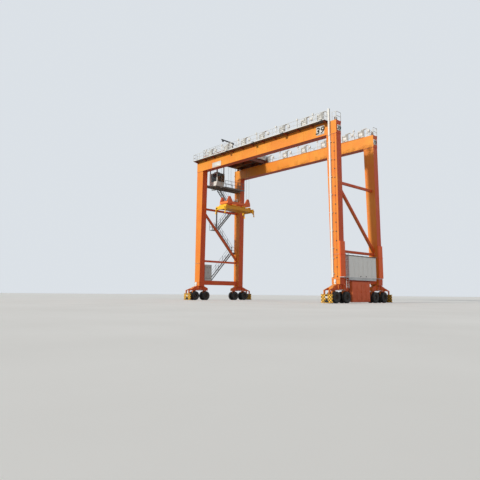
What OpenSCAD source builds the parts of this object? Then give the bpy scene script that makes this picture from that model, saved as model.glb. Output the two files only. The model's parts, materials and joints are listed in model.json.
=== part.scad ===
// Rubber tyred gantry crane for stacking freight containers.
// X runs across the container lane, Y is the way the crane travels, Z is up.
// The origin lies on the ground in the middle of the four corners.

/* [Portal frame] */
// Distance between the two wheel lines
span = 26470; // [22000:10:30000]
// Distance between the front and the rear portal
base = 8320; // [8180:10:9200]
// Height of the top of the two main girders
girder_top = 22280; // [20500:10:24500]
// Depth of a main girder
girder_h = 1660; // [1300:10:2000]
// Width of a girder and of the legs, along the travel
girder_w = 960; // [800:10:1100]
// Width of a leg where it meets the girder
leg_head = 1510; // [1250:10:1800]
// Width of a leg at its foot
leg_foot = 1180; // [1000:10:1240]
// Height of the feet of the legs
foot_z = 2250; // [2150:10:2350]
// Height of the erection joint in the legs
joint_z = 5700; // [5500:10:5800]
// Height of the top of the stiffened casing on the power side legs
casing_top = 7260; // [7000:10:7800]
// Thickness of the stiffened casing
casing_t = 150; // [100:5:180]
// Thickness of the flange plates
flange = 40; // [25:1:60]
// Overhang of the flange plates
flange_lip = 60; // [40:1:90]

/* [Side frames] */
// Height of the top of the sill beams
sill_top = 3060; // [2960:10:3160]
// Depth of a sill beam
sill_h = 680; // [560:10:700]
// Width of a sill beam
sill_w = 520; // [420:10:620]
// Height of the lower tie
lower_tie_z = 6150; // [6000:10:6300]
// Height of the upper tie
upper_tie_z = 14600; // [14400:10:14900]
// Thickness of the ties and of the diagonals
tie_w = 300; // [240:10:320]

/* [Wheels] */
// Diameter of a tyre
tyre_d = 1370; // [1300:10:1400]
// Width of a tyre
tyre_w = 375; // [340:5:390]
// Gap between the two tyres on one axle
tyre_gap = 300; // [290:5:320]
// Distance between the two axles of one corner
axle_pitch = 2100; // [2050:10:2150]
// Diameter of an axle
axle_d = 150; // [120:1:170]
// Diameter of a steering kingpin
kingpin_d = 180; // [150:1:220]
// Diameter of a steering ring
ring_d = 520; // [480:10:540]
// Running clearance of a shaft in its bore, on the radius
running = 0.06; // [0.03:0.01:0.1]

/* [Bumpers] */
// Width of a bumper
bumper_w = 1500; // [1300:10:1600]
// Height of a bumper
bumper_h = 1000; // [900:10:1080]
// Thickness of a bumper
bumper_t = 190; // [120:10:240]

/* [Housings] */
// Length of the electrical house
house_l = 5900; // [5000:10:6000]
// Depth of the electrical house
house_w = 1600; // [1400:10:1700]
// Height of the electrical house
house_h = 2690; // [2450:10:2750]
// Length of the generator enclosure
generator_l = 3840; // [3400:10:4000]
// Height of the generator enclosure
generator_h = 2380; // [2240:10:2400]
// Ground clearance of the generator enclosure
generator_low = 170; // [150:10:300]
// Height of the cabinet on the left sill
cabinet_h = 2500; // [1800:10:2700]

/* [Access] */
// Width of the walkways on the girders
walkway_w = 800; // [700:10:900]
// Height of the handrails
rail_h = 1100; // [1000:10:1200]
// Thickness of handrail tubes
tube = 44; // [34:1:50]
// Width of a stair flight
stair_w = 680; // [600:10:700]
// Height of the landing beside the cabin
cabin_floor = 18500; // [18300:10:18700]

/* [Trolley] */
// Distance from the end of the girders to the middle of the parked trolley
trolley_park = 4225; // [4100:5:4300]
// Length of the trolley across the lane
trolley_l = 6200; // [6000:10:6400]
// Height of the crane rail
track_h = 140; // [110:5:170]
// Diameter of a trolley wheel
trolley_wheel_d = 640; // [560:10:680]
// Diameter of a rope drum
drum_d = 860; // [760:10:900]
// Length of the cabin
cabin_l = 1950; // [1850:10:2000]
// Width of the cabin
cabin_w = 1600; // [1500:10:1640]
// Height of the cabin
cabin_h = 2150; // [2050:10:2250]
// Thickness of the cabin walls
cabin_wall = 60; // [40:5:80]

/* [Hoist] */
// Height of the top of the spreader
spreader_z = 15000; // [13000:10:15600]
// Diameter of a hoist rope
rope_d = 28; // [22:1:32]
// Diameter of a headblock sheave at the rope
sheave_d = 520; // [440:10:600]
// Length over the end beams, with the arms drawn in
spreader_l = 6060; // [6040:10:6080]
// Width over the corners of the spreader
spreader_w = 2440; // [2430:10:2440]
// Height of a telescopic sleeve
sleeve_h = 480; // [420:10:520]
// Width of a telescopic sleeve
sleeve_w = 400; // [360:10:420]
// Length of a corner guide arm
guide_l = 950; // [800:10:1000]

/* [Hidden] */
$fn = 48;
eps = 0.2;
// Legs and girders
line = span / 2;
out = line + leg_foot / 2;
row = base / 2;
girder_low = girder_top - girder_h;
inner_y = row - girder_w / 2;
outer_y = row + girder_w / 2;
lip_y = outer_y + flange_lip;
sill_low = sill_top - sill_h;
end_plate = 30;
conduit_x = out - 925;
walk_end = conduit_x - 150;
// Wheels
axle_z = tyre_d / 2;
track = tyre_gap / 2 + tyre_w;
turn_r = sqrt(track * track + axle_z * axle_z);
fork_top = tyre_d + 60;
fork_w = tyre_gap - 90;
beam_low = fork_top + 50;
ring_gap = 6;
pin_h = 320;
// Bumpers
bumper_y = row + axle_pitch / 2 + turn_r + 265;
bumper_low = 45;
// Electrical house, its base frame and its roof
side_edge = line + 715;
skirt_h = 340;
floor_t = 60;
roof_t = 150;
generator_y = -280;
// Ladders
ladder_w = 520;
rung_pitch = 280;
// Stairs: odd flights lie in the outer lane, even ones in the inner lane
lane_gap = 40;
stair_in = line + sill_w / 2 - 45;
lane_x = stair_in + stair_w;
stair_out = lane_x + stair_w + lane_gap;
landing_t = 60;
foot_landing = 900;
turn_low = lower_tie_z + 1800;
turn_high = upper_tie_z + 500;
levels = [sill_top, turn_low, (turn_low + turn_high) / 2, turn_high, cabin_floor];
starts = [-1000, inner_y - 780, 300, inner_y - 780];
ends = [inner_y - 230, -300, inner_y - 230, -100];
// Trolley
trolley_x = trolley_park - out;
trolley_half = trolley_l / 2;
wheel_x = trolley_half - 520;
track_top = girder_top + track_h;
truck_low = track_top + 140;
truck_h = 560;
truck_w = 400;
cross_low = track_top - 70;
cross_end = row - truck_w / 2;
deck_z = girder_top + 640;
sheave_y = 2000;
sheave_x = 850;
lift_z = girder_top + 20;
switch_h = 2050;
jib_h = 1980;
// Cabin, from the middle of the trolley
cabin_x = -3700;
cabin_y = -850 - cabin_w;
cabin_low = cabin_floor - 40;
cabin_rake = 260;
rake_z = 700;
pane_t = 12;
// Hoist
block_low = spreader_z + 150;
beam_h = 380;
sheave_z = block_low + 900;
sleeve_wall = 20;
pad = 10;
arm_in_x = 250;
arm_out_x = 690;
frame_l = spreader_l - 760;
end_w = 250;
beam_gap = 1250;
sleeve_z = spreader_z - 220 - sleeve_h;
corner_x = spreader_w / 2 - 91;
corner_y = spreader_l / 2 - 104;
guide_z = sleeve_z + 130;
guide_y = spreader_l / 2 + 75;
guide_pin = 60;

paint = "#F07A2E";
yellow = "#E9B42B";
steel = "#8C8F92";
galvanised = "#C9CCCB";

// Helpers

// A box given by its lowest and highest corner.
module span_box(a, b) translate(a) cube(b - a);

// A profile drawn in Y and Z, pushed along X from x0 to x1.
module along_x(x0, x1) translate([x0, 0, 0]) rotate([90, 0, 90]) linear_extrude(x1 - x0) children();

// A profile drawn in X and Z, pushed along Y from y0 to y1.
module along_y(y0, y1) translate([0, y1, 0]) rotate([90, 0, 0]) linear_extrude(y1 - y0) children();

// Puts its children, drawn on the +X and +Y side, on the side given by two signs.
module corner(sx, sy) mirror([sx < 0 ? 1 : 0, 0, 0]) mirror([0, sy < 0 ? 1 : 0, 0]) children();

// A straight handrail along X: posts, a top rail and a knee rail.
module handrail_x(x0, x1, y, z, pitch = 1500) {
    n = max(1, round((x1 - x0) / pitch));
    for (i = [0 : n])
        translate([x0 + (x1 - x0 - tube) * i / n, y, z]) cube([tube, tube, rail_h]);
    for (h = [0.5, 1])
        span_box([x0, y, z + rail_h * h - tube], [x1, y + tube, z + rail_h * h]);
}

// The same along Y.
module handrail_y(y0, y1, x, z, pitch = 1500) {
    n = max(1, round((y1 - y0) / pitch));
    for (i = [0 : n])
        translate([x, y0 + (y1 - y0 - tube) * i / n, z]) cube([tube, tube, rail_h]);
    for (h = [0.5, 1])
        span_box([x, y0, z + rail_h * h - tube], [x + tube, y1, z + rail_h * h]);
}

// Portal frame

// Box girder with flanges, end plates and a seam flange over each leg.
module girder(s) {
    half = girder_w / 2;
    wide = half + flange_lip;
    between = out - leg_head - flange;
    color(paint) translate([0, s * row, girder_low]) {
        span_box([-out, -half, 0], [out, half, girder_h]);
        for (z = [0, girder_h - flange])
            span_box([-between, -wide, z], [between, wide, z + flange]);
        for (side = [-1, 1]) translate([side * out, 0, 0]) {
            span_box([-end_plate, -half, 0], [end_plate, half, girder_h]);
            translate([-side * leg_head / 2, 0, 0])
                span_box([-leg_head / 2, -wide, 0], [leg_head / 2, wide, flange]);
        }
    }
}
module girder_front() girder(-1);
module girder_rear() girder(1);

// Section of a crane rail: foot, web and head.
module rail_section() {
    head = track_h - 34;
    neck = track_h - 46;
    polygon([[-70, 0], [70, 0], [70, 18], [18, 34], [18, neck], [38, head], [38, track_h],
        [-38, track_h], [-38, head], [-18, neck], [-18, 34], [-70, 18]]);
}

// Crane rail on each girder, with an end stop at both ends.
module crane_rails() {
    reach = out - 250;
    stop_h = truck_low - girder_top + 260;
    color(steel) for (s = [-1, 1]) translate([0, s * row, girder_top]) {
        along_x(-reach, reach) rail_section();
        for (e = [-1, 1]) translate([e * (reach - 110), 0, 0])
            span_box([-110, -150, 0], [110, 150, stop_h]);
    }
}

// Leg with an upright outer face and a slanting inner face; the seam flange sits at its head.
module leg(sx, sy, casing = false) {
    face = out + (casing ? casing_t : 0);
    color(paint) corner(sx, sy) {
        along_y(inner_y, outer_y)
            polygon([[out - leg_foot, foot_z], [out, foot_z],
                [out, girder_low], [out - leg_head, girder_low]]);
        // flange under the girder
        span_box([out - leg_head, inner_y - flange_lip, girder_low - flange], [out, lip_y, girder_low]);
        // erection joint and foot flange
        span_box([out - leg_foot, inner_y - flange_lip, joint_z], [face, lip_y, joint_z + flange]);
        translate([0, 0, foot_z + 500])
            span_box([out - leg_foot, inner_y, 0], [out + flange_lip, lip_y, flange]);
        // stiffened casing on the outer face
        if (casing) {
            span_box([out, inner_y, sill_top + 20], [face, outer_y, casing_top]);
            span_box([out, inner_y - flange_lip, joint_z], [face + flange_lip, lip_y, joint_z + flange]);
        }
    }
}
module leg_left_front() leg(-1, -1);
module leg_right_front() leg(1, -1, true);
module leg_left_rear() leg(-1, 1);
module leg_right_rear() leg(1, 1, true);

// Sill beams between the feet of the front and rear legs.
module sill_beams() {
    wide = sill_w / 2;
    color(paint) for (s = [-1, 1]) translate([s * line, 0, 0]) {
        span_box([-wide, -inner_y, sill_low], [wide, inner_y, sill_top]);
        for (e = [-1, 1]) translate([0, e * (inner_y - 20), 0])
            span_box([-wide - 40, -20, sill_low - 40], [wide + 40, 20, sill_top + 40]);
    }
}

// Upper tie, lower tie and the diagonal that falls from the front leg to the rear leg.
module side_bracing(s) {
    half = tie_w / 2;
    drop = tie_w * 0.72;
    high = upper_tie_z - half - drop - 60;
    low = lower_tie_z + half + drop + 40;
    color(paint) translate([s * line, 0, 0]) {
        for (z = [lower_tie_z, upper_tie_z]) {
            span_box([-half, -inner_y, z - half], [half, inner_y, z + half]);
            for (e = [-1, 1]) translate([0, e * (inner_y - 20), z])
                span_box([-half - 70, -20, -half], [half + 70, 20, half]);
        }
        along_x(-half, half)
            polygon([[-inner_y, high - drop], [-inner_y, high + drop],
                [inner_y, low + drop], [inner_y, low - drop]]);
    }
}
module side_bracing_left() side_bracing(-1);
module side_bracing_right() side_bracing(1);

// Bogies

// Beam that spreads one corner's load on two forks, with its steering rings and bores.
module bogie_beam() {
    half = axle_pitch / 2 + 450;
    shoulder = girder_w / 2 + 60;
    back = bumper_y - row;
    front = back + bumper_t;
    top = bumper_low + bumper_h;
    difference() {
        union() {
            along_x(-280, 280)
                polygon([[-half, beam_low], [half, beam_low], [half, beam_low + 380],
                    [shoulder, foot_z], [-shoulder, foot_z], [-half, beam_low + 380]]);
            span_box([-leg_foot / 2, -girder_w / 2, foot_z - 60], [leg_foot / 2, girder_w / 2, foot_z]);
            for (e = [-1, 1]) translate([0, e * axle_pitch / 2, fork_top + ring_gap])
                cylinder(d = ring_d, h = beam_low - fork_top - ring_gap);
            // bumper arms reach over the outer tyre and stand on the bumper
            for (x = [-350, 350]) along_x(x - 70, x + 70)
                polygon([[half - 250, beam_low], [back - 140, beam_low], [back, beam_low - 60],
                    [back, top], [front, top], [front, beam_low + 20],
                    [half, beam_low + 330], [half - 250, beam_low + 360]]);
        }
        for (e = [-1, 1]) translate([0, e * axle_pitch / 2, fork_top - 10])
            cylinder(r = kingpin_d / 2 + running, h = pin_h + 10);
    }
}
module bogie_beams(sx) {
    color(paint) for (sy = [-1, 1]) corner(sx, sy) translate([line, row, 0]) bogie_beam();
}
module bogie_beams_left() bogie_beams(-1);
module bogie_beams_right() bogie_beams(1);

// Bumper boxes at the four outer ends, close over the ground.
module bumpers() {
    half = bumper_w / 2;
    color("#E8B62C") for (sx = [-1, 1], sy = [-1, 1])
        corner(sx, sy) translate([line, bumper_y, bumper_low]) {
            span_box([-half, 0, 0], [half, bumper_t, bumper_h]);
            for (z = [0, bumper_h - 60])
                span_box([-half - 30, bumper_t - 40, z], [half + 30, bumper_t + 30, z + 60]);
        }
}

// Steerable fork: one central leg with a kingpin on top and the axle bore below.
module fork(sx, y) {
    color(paint) translate([sx * line, y, 0]) difference() {
        union() {
            translate([0, 0, fork_top - 40]) cylinder(d = ring_d, h = 40);
            translate([0, 0, fork_top - 20]) cylinder(d = kingpin_d, h = pin_h);
            along_x(-fork_w / 2, fork_w / 2) {
                polygon([[-235, axle_z], [235, axle_z], [330, fork_top - 40], [-330, fork_top - 40]]);
                translate([0, axle_z]) circle(d = 470);
            }
        }
        along_x(-fork_w, fork_w) translate([0, axle_z]) circle(r = axle_d / 2 + running);
    }
}

module fork_left_front_outer() fork(-1, -row - axle_pitch / 2);
module fork_left_front_inner() fork(-1, -row + axle_pitch / 2);
module fork_left_rear_inner() fork(-1, row - axle_pitch / 2);
module fork_left_rear_outer() fork(-1, row + axle_pitch / 2);
module fork_right_front_outer() fork(1, -row - axle_pitch / 2);
module fork_right_front_inner() fork(1, -row + axle_pitch / 2);
module fork_right_rear_inner() fork(1, row - axle_pitch / 2);
module fork_right_rear_outer() fork(1, row + axle_pitch / 2);

// Section of one tyre on its dished wheel, from the inner face outwards.
function wheel_section() = let (r = tyre_d / 2, w = tyre_w) [
    [0, 0], [0, 190], [0.2 * w, 215], [0.2 * w, 285], [0.05 * w, 300], [0, 320],
    [0, 0.88 * r], [0.06 * w, 0.96 * r], [0.16 * w, r],
    [0.84 * w, r], [0.94 * w, 0.96 * r], [w, 0.88 * r],
    [w, 320], [0.95 * w, 300], [0.55 * w, 270], [0.5 * w, 190], [0.72 * w, 170], [0.72 * w, 0]];

// Two tyres with their wheels and the axle that joins them.
module wheelset(sx, y) {
    color("#262626") translate([sx * line, y, axle_z]) rotate([0, 90, 0]) {
        cylinder(d = axle_d, h = tyre_gap + 120, center = true);
        for (m = [0, 1]) mirror([0, 0, m]) translate([0, 0, tyre_gap / 2])
            rotate_extrude() polygon([for (p = wheel_section()) [p[1], p[0]]]);
    }
}
module wheels_left_front_outer() wheelset(-1, -row - axle_pitch / 2);
module wheels_left_front_inner() wheelset(-1, -row + axle_pitch / 2);
module wheels_left_rear_inner() wheelset(-1, row - axle_pitch / 2);
module wheels_left_rear_outer() wheelset(-1, row + axle_pitch / 2);
module wheels_right_front_outer() wheelset(1, -row - axle_pitch / 2);
module wheels_right_front_inner() wheelset(1, -row + axle_pitch / 2);
module wheels_right_rear_inner() wheelset(1, row - axle_pitch / 2);
module wheels_right_rear_outer() wheelset(1, row + axle_pitch / 2);

// Power side

// Electrical house on the right sill: ribbed walls, door leaves and a shallow pitched roof.
module electrical_house() {
    half = house_l / 2;
    wall_h = house_h - roof_t;
    bays = 6;
    bay = house_l / bays;
    rib = 25;
    color("#9C9C9C") translate([side_edge - house_w / 2, 0, sill_top]) {
        deep = house_w / 2;
        span_box([-deep, -half, 0], [deep, half, wall_h]);
        for (i = [0 : bays]) translate([0, -half + i * (house_l - 60) / bays, 0])
            span_box([-deep - rib, 0, 0], [deep + rib, 60, wall_h]);
        // door leaves on the outer side, panels on the inner side
        for (i = [0 : bays - 1]) translate([0, -half + (i + 0.5) * bay, 0])
            span_box([-deep - rib + 10, -bay * 0.36, 180], [deep + rib - 5, bay * 0.36, wall_h - 160]);
        span_box([-420, -half - rib, 60], [420, half + rib, wall_h - 220]);
        translate([0, 0, wall_h]) along_y(-half - 50, half + 50)
            polygon([[-deep - 50, 0], [deep + 50, 0], [deep + 50, 100], [0, roof_t], [-deep - 50, 100]]);
    }
}

// Base frame of the electrical house: a floor with a skirt and brackets on each side of the sill,
// and a small landing beside each leg.
module house_platform() {
    half = house_l / 2;
    reach = inner_y - flange_lip;
    low = sill_top - floor_t;
    color(galvanised) {
        for (edge = [0, 1]) {
            x0 = edge ? line + sill_w / 2 : side_edge - house_w;
            x1 = edge ? side_edge : line - sill_w / 2;
            knee = edge ? side_edge - 150 : x0 + 100;
            end = edge ? reach : half;
            skirt = edge ? x1 - 40 : x0;
            span_box([x0, -end, low], [x1, end, sill_top]);
            span_box([skirt, -half, sill_top - skirt_h], [skirt + 40, half, sill_top]);
            for (i = [-2 : 2]) along_y(i * house_l / 5 - 20, i * house_l / 5 + 20) translate([0, sill_top])
                polygon([[x0, 0], [x1, 0], [x1, 20 - skirt_h], [x1 - 100, 20 - skirt_h],
                    [knee, -300], [x0, -300]]);
        }
        // seams of the outer skirt
        for (y = [-half / 3, half / 3])
            span_box([side_edge, y - 20, sill_top - skirt_h], [side_edge + 12, y + 20, sill_top]);
        // landings with their gussets on the legs
        for (e = [[-lip_y - 50, -reach, side_edge + 530], [reach - 320, row - 160, side_edge + 150]]) {
            span_box([out, e[0], low], [e[2], e[1], sill_top]);
            for (y = [max(e[0], inner_y) + 60, min(e[1], -inner_y) - 80])
                if (y > e[0] && y < e[1])
                    along_y(y - 20, y + 20) polygon([[out, low], [e[2] - 60, low], [out, low - 150]]);
        }
    }
}

// Sound-proof generator enclosure that hangs under the right sill and wraps its sides.
module generator_enclosure() {
    inner = line - sill_w / 2;
    outer = line + sill_w / 2;
    top = generator_low + generator_h;
    x0 = side_edge - 1650;
    x1 = side_edge - 150;
    bay = generator_l / 4;
    color("#94432A") translate([0, generator_y, 0]) {
        along_y(-generator_l / 2, generator_l / 2)
            polygon([[x0, generator_low], [x1, generator_low], [x1, top], [outer, top],
                [outer, sill_low], [inner, sill_low], [inner, top], [x0, top]]);
        // door leaves on both long sides and a grille frame on both ends
        for (i = [-1.5 : 1.5]) translate([0, i * bay, 0])
            span_box([x0 - 20, -bay * 0.44, generator_low + 160], [x1 + 20, bay * 0.44, sill_low - 60]);
        span_box([x0 + 200, -generator_l / 2 - 20, generator_low + 260],
            [x1 - 200, generator_l / 2 + 20, sill_low - 260]);
        // skids
        for (x = [x0 + 150, x1 - 270]) translate([x, 0, generator_low - 60])
            span_box([0, -generator_l / 2, 0], [120, generator_l / 2, 60]);
    }
}

// Control cabinet that stands on the left sill beside the front leg.
module sill_cabinet() {
    y0 = -inner_y + 380;
    color("#8F9396") translate([-line, y0, sill_top]) {
        span_box([-230, 0, 0], [230, 1400, cabinet_h]);
        span_box([-260, -30, cabinet_h], [260, 1430, cabinet_h + 30]);
        for (i = [0, 1])
            span_box([-250, 40 + i * 680, 120], [250, 680 + i * 680, cabinet_h - 80]);
    }
}

// Cable conduit up the front face of the right front leg, past the walkway.
module cable_conduit() {
    head = girder_low - flange - 5;
    color("#ECECE6") translate([conduit_x, -outer_y, 0]) difference() {
        union() {
            span_box([-110, -200, sill_top - 60], [110, 0, head]);
            span_box([-110, -200 - flange_lip, head], [110, -flange_lip, girder_top + 1600]);
            span_box([-110, -200 - flange_lip, head - 220], [110, 0, head]);
        }
        // notch for the erection joint of the leg
        span_box([-111, -flange_lip, joint_z], [111, 1, joint_z + flange]);
    }
}

// Access

// Walkway along the outer edge of a girder: deck, brackets, handrail and the rail at the girder's end.
module walkway(s) {
    edge = lip_y + walkway_w;
    deck = girder_top + 50;
    pitch = (out + walk_end - 440) / 12;
    color(galvanised) corner(1, s) {
        difference() {
            union() {
                span_box([-out, outer_y, girder_top], [walk_end, edge, deck]);
                for (i = [0 : 12]) along_x(-out + 200 + i * pitch, -out + 240 + i * pitch)
                    polygon([[outer_y, girder_top], [edge - 60, girder_top],
                        [edge - 60, girder_top - 80], [outer_y, girder_top - 250]]);
                handrail_x(-out, walk_end, edge - tube, deck);
                for (x = [-out, walk_end - tube]) handrail_y(outer_y, edge, x, deck, 900);
                // toe board
                span_box([-out, edge - 8, deck], [walk_end, edge, deck + 120]);
            }
            // brackets are notched round the girder flange
            span_box([-out, outer_y - 10, girder_top - flange], [out, lip_y, girder_top]);
        }
        // rail on the girder's right end, with its posts on the end plate
        handrail_x(out - 600, out, outer_y - tube, girder_top, 600);
        translate([out + end_plate, 0, 0]) {
            handrail_y(inner_y, outer_y, 0, girder_top, 900);
            for (y = [inner_y, outer_y - tube])
                span_box([0, y, girder_top - 300], [tube, y + tube, girder_top]);
            for (h = [0.5, 1])
                span_box([-end_plate, outer_y - tube, girder_top + rail_h * h - tube],
                    [tube, outer_y, girder_top + rail_h * h]);
        }
    }
}
module walkway_front() walkway(-1);
module walkway_rear() walkway(1);

// Upright ladder between two heights.
module ladder(x, y, low, top) {
    rungs = floor((top - low - 100) / rung_pitch);
    translate([x, y, 0]) {
        for (e = [0, ladder_w - 30])
            span_box([0, e, low], [60, e + 30, top]);
        for (i = [0 : rungs - 1]) translate([0, 0, low + 150 + i * rung_pitch])
            span_box([10, 30, 0], [50, ladder_w - 30, 30]);
    }
}

// Ladder to the roof of the electrical house, held by ties, and ladder to the foot of the stair.
module access_ladders() {
    y = -inner_y + flange_lip + 10;
    color(galvanised) {
        ladder(side_edge + 10, y, sill_top - 1310, sill_top + house_h + 250);
        for (k = [0.15, 0.5, 0.85]) translate([side_edge - 20, 0, sill_top + k * (house_h - roof_t)]) {
            span_box([0, -inner_y, 0], [40, y + 10, 40]);
            span_box([0, y + ladder_w - 10, 0], [40, -house_l / 2, 40]);
        }
        ladder(-stair_out, starts[0] - foot_landing - ladder_w, 400, sill_top + 1000);
    }
}

// One flight between two levels: stringers, treads and handrails.
module flight(i) {
    y0 = starts[i];
    y1 = ends[i];
    z0 = levels[i];
    z1 = levels[i + 1];
    x0 = i % 2 == 0 ? -stair_out : -lane_x;
    s = sign(y1 - y0);
    n = round((z1 - z0) / 220);
    going = (y1 - y0) / n;
    rise = (z1 - z0) / n;
    lift = s * tube * rise / abs(going);
    color(galvanised) {
        for (x = [x0, x0 + stair_w - 40]) along_x(x, x + 40) {
            polygon([[y0, z0 - landing_t], [y0, z0 + 160], [y1, z1], [y1, z1 - 260]]);
            for (h = [0.5, 1])
                polygon([[y0, z0 + rail_h * h - tube], [y0, z0 + rail_h * h],
                    [y1, z1 + rail_h * h], [y1, z1 + rail_h * h - tube]]);
            for (k = [0 : 3])
                let (y = y0 + (y1 - y0) * k / 3, z = z0 + (z1 - z0) * k / 3, e = k == 3 ? -s : s)
                    polygon([[y, z - 50], [y, z + rail_h - 10], [y + e * tube, z + rail_h - 10 + e * lift],
                        [y + e * tube, z - 50 + e * lift]]);
        }
        for (k = [1 : n - 1]) translate([x0, y0 + k * going, z0 + k * rise])
            span_box([40, -130, -30], [stair_w - 40, 130, 0]);
    }
}
module stair_flight_1() flight(0);
module stair_flight_2() flight(1);
module stair_flight_3() flight(2);
module stair_flight_4() flight(3);

// Landings where the stair turns, each fixed to the frame beside it.
module stair_landings() {
    hang = -line - tie_w / 2;
    foot = starts[0] - foot_landing;
    back = ends[1] - 750;
    post_h = upper_tie_z + tie_w / 2 - levels[2];
    color(galvanised) {
        // foot of the stair, on the left sill
        span_box([-stair_out, foot, sill_top - landing_t], [-line - sill_w / 2, starts[0], sill_top]);
        handrail_y(foot, starts[0], -lane_x, sill_top, 900);
        // turns round the rear leg
        for (i = [1, 3]) translate([0, 0, levels[i]]) {
            near = ends[i - 1];
            span_box([-lane_x, starts[i], -landing_t], [-stair_in, inner_y, 0]);
            span_box([-stair_out, near, -landing_t], [-out, outer_y, 0]);
            span_box([-stair_out, near, -landing_t], [-stair_in, inner_y, 0]);
            along_x(-stair_out + 40, -out)
                polygon([[inner_y + 60, -landing_t], [outer_y, -landing_t],
                    [outer_y, -260], [inner_y + 60, -160]]);
            handrail_x(-stair_out, -out, outer_y - tube, 0, 900);
            handrail_y(near, outer_y, -stair_out, 0, 900);
        }
        // turn in the middle, hung from the upper tie
        translate([0, 0, levels[2]]) {
            span_box([-stair_out, back, -landing_t], [hang, ends[1], 0]);
            span_box([-stair_out, ends[1], -landing_t], [-lane_x - lane_gap, starts[2], 0]);
            span_box([hang - 160, ends[1] - 420, 0], [hang, ends[1] - 260, post_h]);
            handrail_x(-stair_out, hang, back, 0, 900);
            handrail_y(back, starts[2], -stair_out, 0, 900);
        }
    }
}

// Landing beside the cabin, between the girders' left ends.
module cabin_landing() {
    front = cabin_y + cabin_w + 150;
    edge = trolley_x - spreader_w / 2 - 480;
    inner = -stair_in + 50;
    low = cabin_floor - landing_t;
    gate = -line - 365;
    color(galvanised) {
        span_box([-stair_out, front, low], [edge, ends[3], cabin_floor]);
        span_box([inner, ends[3], low], [edge, inner_y, cabin_floor]);
        handrail_y(front, inner_y, edge - tube, cabin_floor);
        handrail_y(front, ends[3], -stair_out, cabin_floor);
        handrail_y(ends[3], inner_y - 900, inner, cabin_floor);
        handrail_x(-stair_out, gate, front, cabin_floor, 1200);
        handrail_x(-stair_out, -lane_x - 20, ends[3] - tube, cabin_floor, 900);
        handrail_x(edge - 800, edge, inner_y - tube, cabin_floor, 900);
        // edge channels
        span_box([edge - 60, front, low - 120], [edge, inner_y, low]);
        span_box([-stair_out, front, low - 120], [gate, front + 60, low]);
    }
}

// Two beams between the left legs that carry the cabin landing.
module landing_beams() {
    top = cabin_floor - landing_t;
    color(paint) for (x = [-out + 490, -out + 1250])
        span_box([x - 100, -inner_y, top - 220], [x + 100, inner_y, top]);
}

// Trolley

// End trucks over the rails, with a well for each wheel.
module end_trucks() {
    well = trolley_wheel_d / 2 + 60;
    difference() {
        for (s = [-1, 1]) translate([0, s * row, truck_low])
            span_box([-trolley_half, -truck_w / 2, 0], [trolley_half, truck_w / 2, truck_h]);
        for (s = [-1, 1], w = [-wheel_x, wheel_x]) translate([w, s * row, truck_low])
            span_box([-well, -110, -10], [well, 110, trolley_wheel_d - 80]);
    }
}

// End trucks, three cross girders, sheave beams, the deck and the cabin's hangers.
module trolley_frame() {
    inset = trolley_half - 400;
    roof = cabin_low + cabin_h;
    color(paint) translate([trolley_x, 0, 0]) {
        end_trucks();
        for (x = [-inset, 0, inset])
            span_box([x - 210, -cross_end, cross_low], [x + 210, cross_end, deck_z]);
        for (s = [-1, 1]) translate([0, s * sheave_y, 0])
            span_box([-inset, -330, lift_z], [inset, 330, deck_z]);
        span_box([-trolley_half, -cross_end, deck_z - 20], [trolley_half, cross_end, deck_z]);
        // buffers
        for (s = [-1, 1], e = [-1, 1]) translate([e * (trolley_half + 60), s * row, truck_low + 250])
            span_box([-60, -90, -90], [60, 90, 90]);
        // cabin hangers
        for (y = [cabin_y + 60, cabin_y + cabin_w - 60]) {
            span_box([cabin_x + 60, y - 60, cross_low - 200], [210, y + 60, cross_low]);
            for (x = [cabin_x + 130, cabin_x + cabin_l - 130])
                span_box([x - 60, y - 60, roof], [x + 60, y + 60, cross_low]);
        }
    }
}

// Four flanged wheels that stand on the crane rails.
module trolley_wheels() {
    r = trolley_wheel_d / 2;
    color(steel) for (s = [-1, 1], w = [-wheel_x, wheel_x])
        translate([trolley_x + w, s * row, track_top + r + eps]) rotate([90, 0, 0]) {
            cylinder(r = r, h = 110, center = true);
            for (e = [-1, 1]) translate([0, 0, e * 67]) cylinder(r = r + 24, h = 24, center = true);
            cylinder(d = 180, h = 220, center = true);
        }
}

// Rope drums on their stands, the gearbox between them, the motor and the brake.
module hoist_machinery() {
    axis_z = 760;
    motor_z = 560;
    color("#B9502C") translate([trolley_x, -700, deck_z]) {
        for (e = [-1, 1]) {
            translate([e * 1350, 0, axis_z]) rotate([0, 90, 0]) {
                cylinder(d = drum_d, h = 1500, center = true);
                for (f = [-1, 1]) translate([0, 0, f * 770])
                    cylinder(d = drum_d + 120, h = 40, center = true);
            }
            along_x(e * 2230 - 90, e * 2230 + 90)
                polygon([[-420, 0], [420, 0], [200, axis_z + 190], [-200, axis_z + 190]]);
            span_box([e * 2160 - 60, -90, axis_z - 90], [e * 2160 + 60, 90, axis_z + 90]);
        }
        // gearbox
        along_x(-560, 560)
            polygon([[-620, 0], [1080, 0], [1080, 900], [700, 1180], [-400, 1300], [-620, 1100]]);
        // coupling, brake disc and motor
        for (part = [[1080, 300, 300], [1240, 520, 60], [1380, 640, 1050]])
            translate([0, part[0], motor_z]) rotate([-90, 0, 0]) cylinder(d = part[1], h = part[2]);
        span_box([-330, 1450, 0], [330, 2300, 330]);
    }
}

// Switchgear house on the rear side of the trolley deck.
module trolley_house() {
    a = [trolley_x + 900, 2150, deck_z];
    b = [trolley_x + trolley_half - 60, cross_end - 60, deck_z + switch_h];
    color("#E6E7E4") {
        span_box(a, b);
        span_box([a[0] - 50, a[1] - 50, b[2]], [b[0] + 50, b[1] + 50, b[2] + 60]);
    }
}

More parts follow.
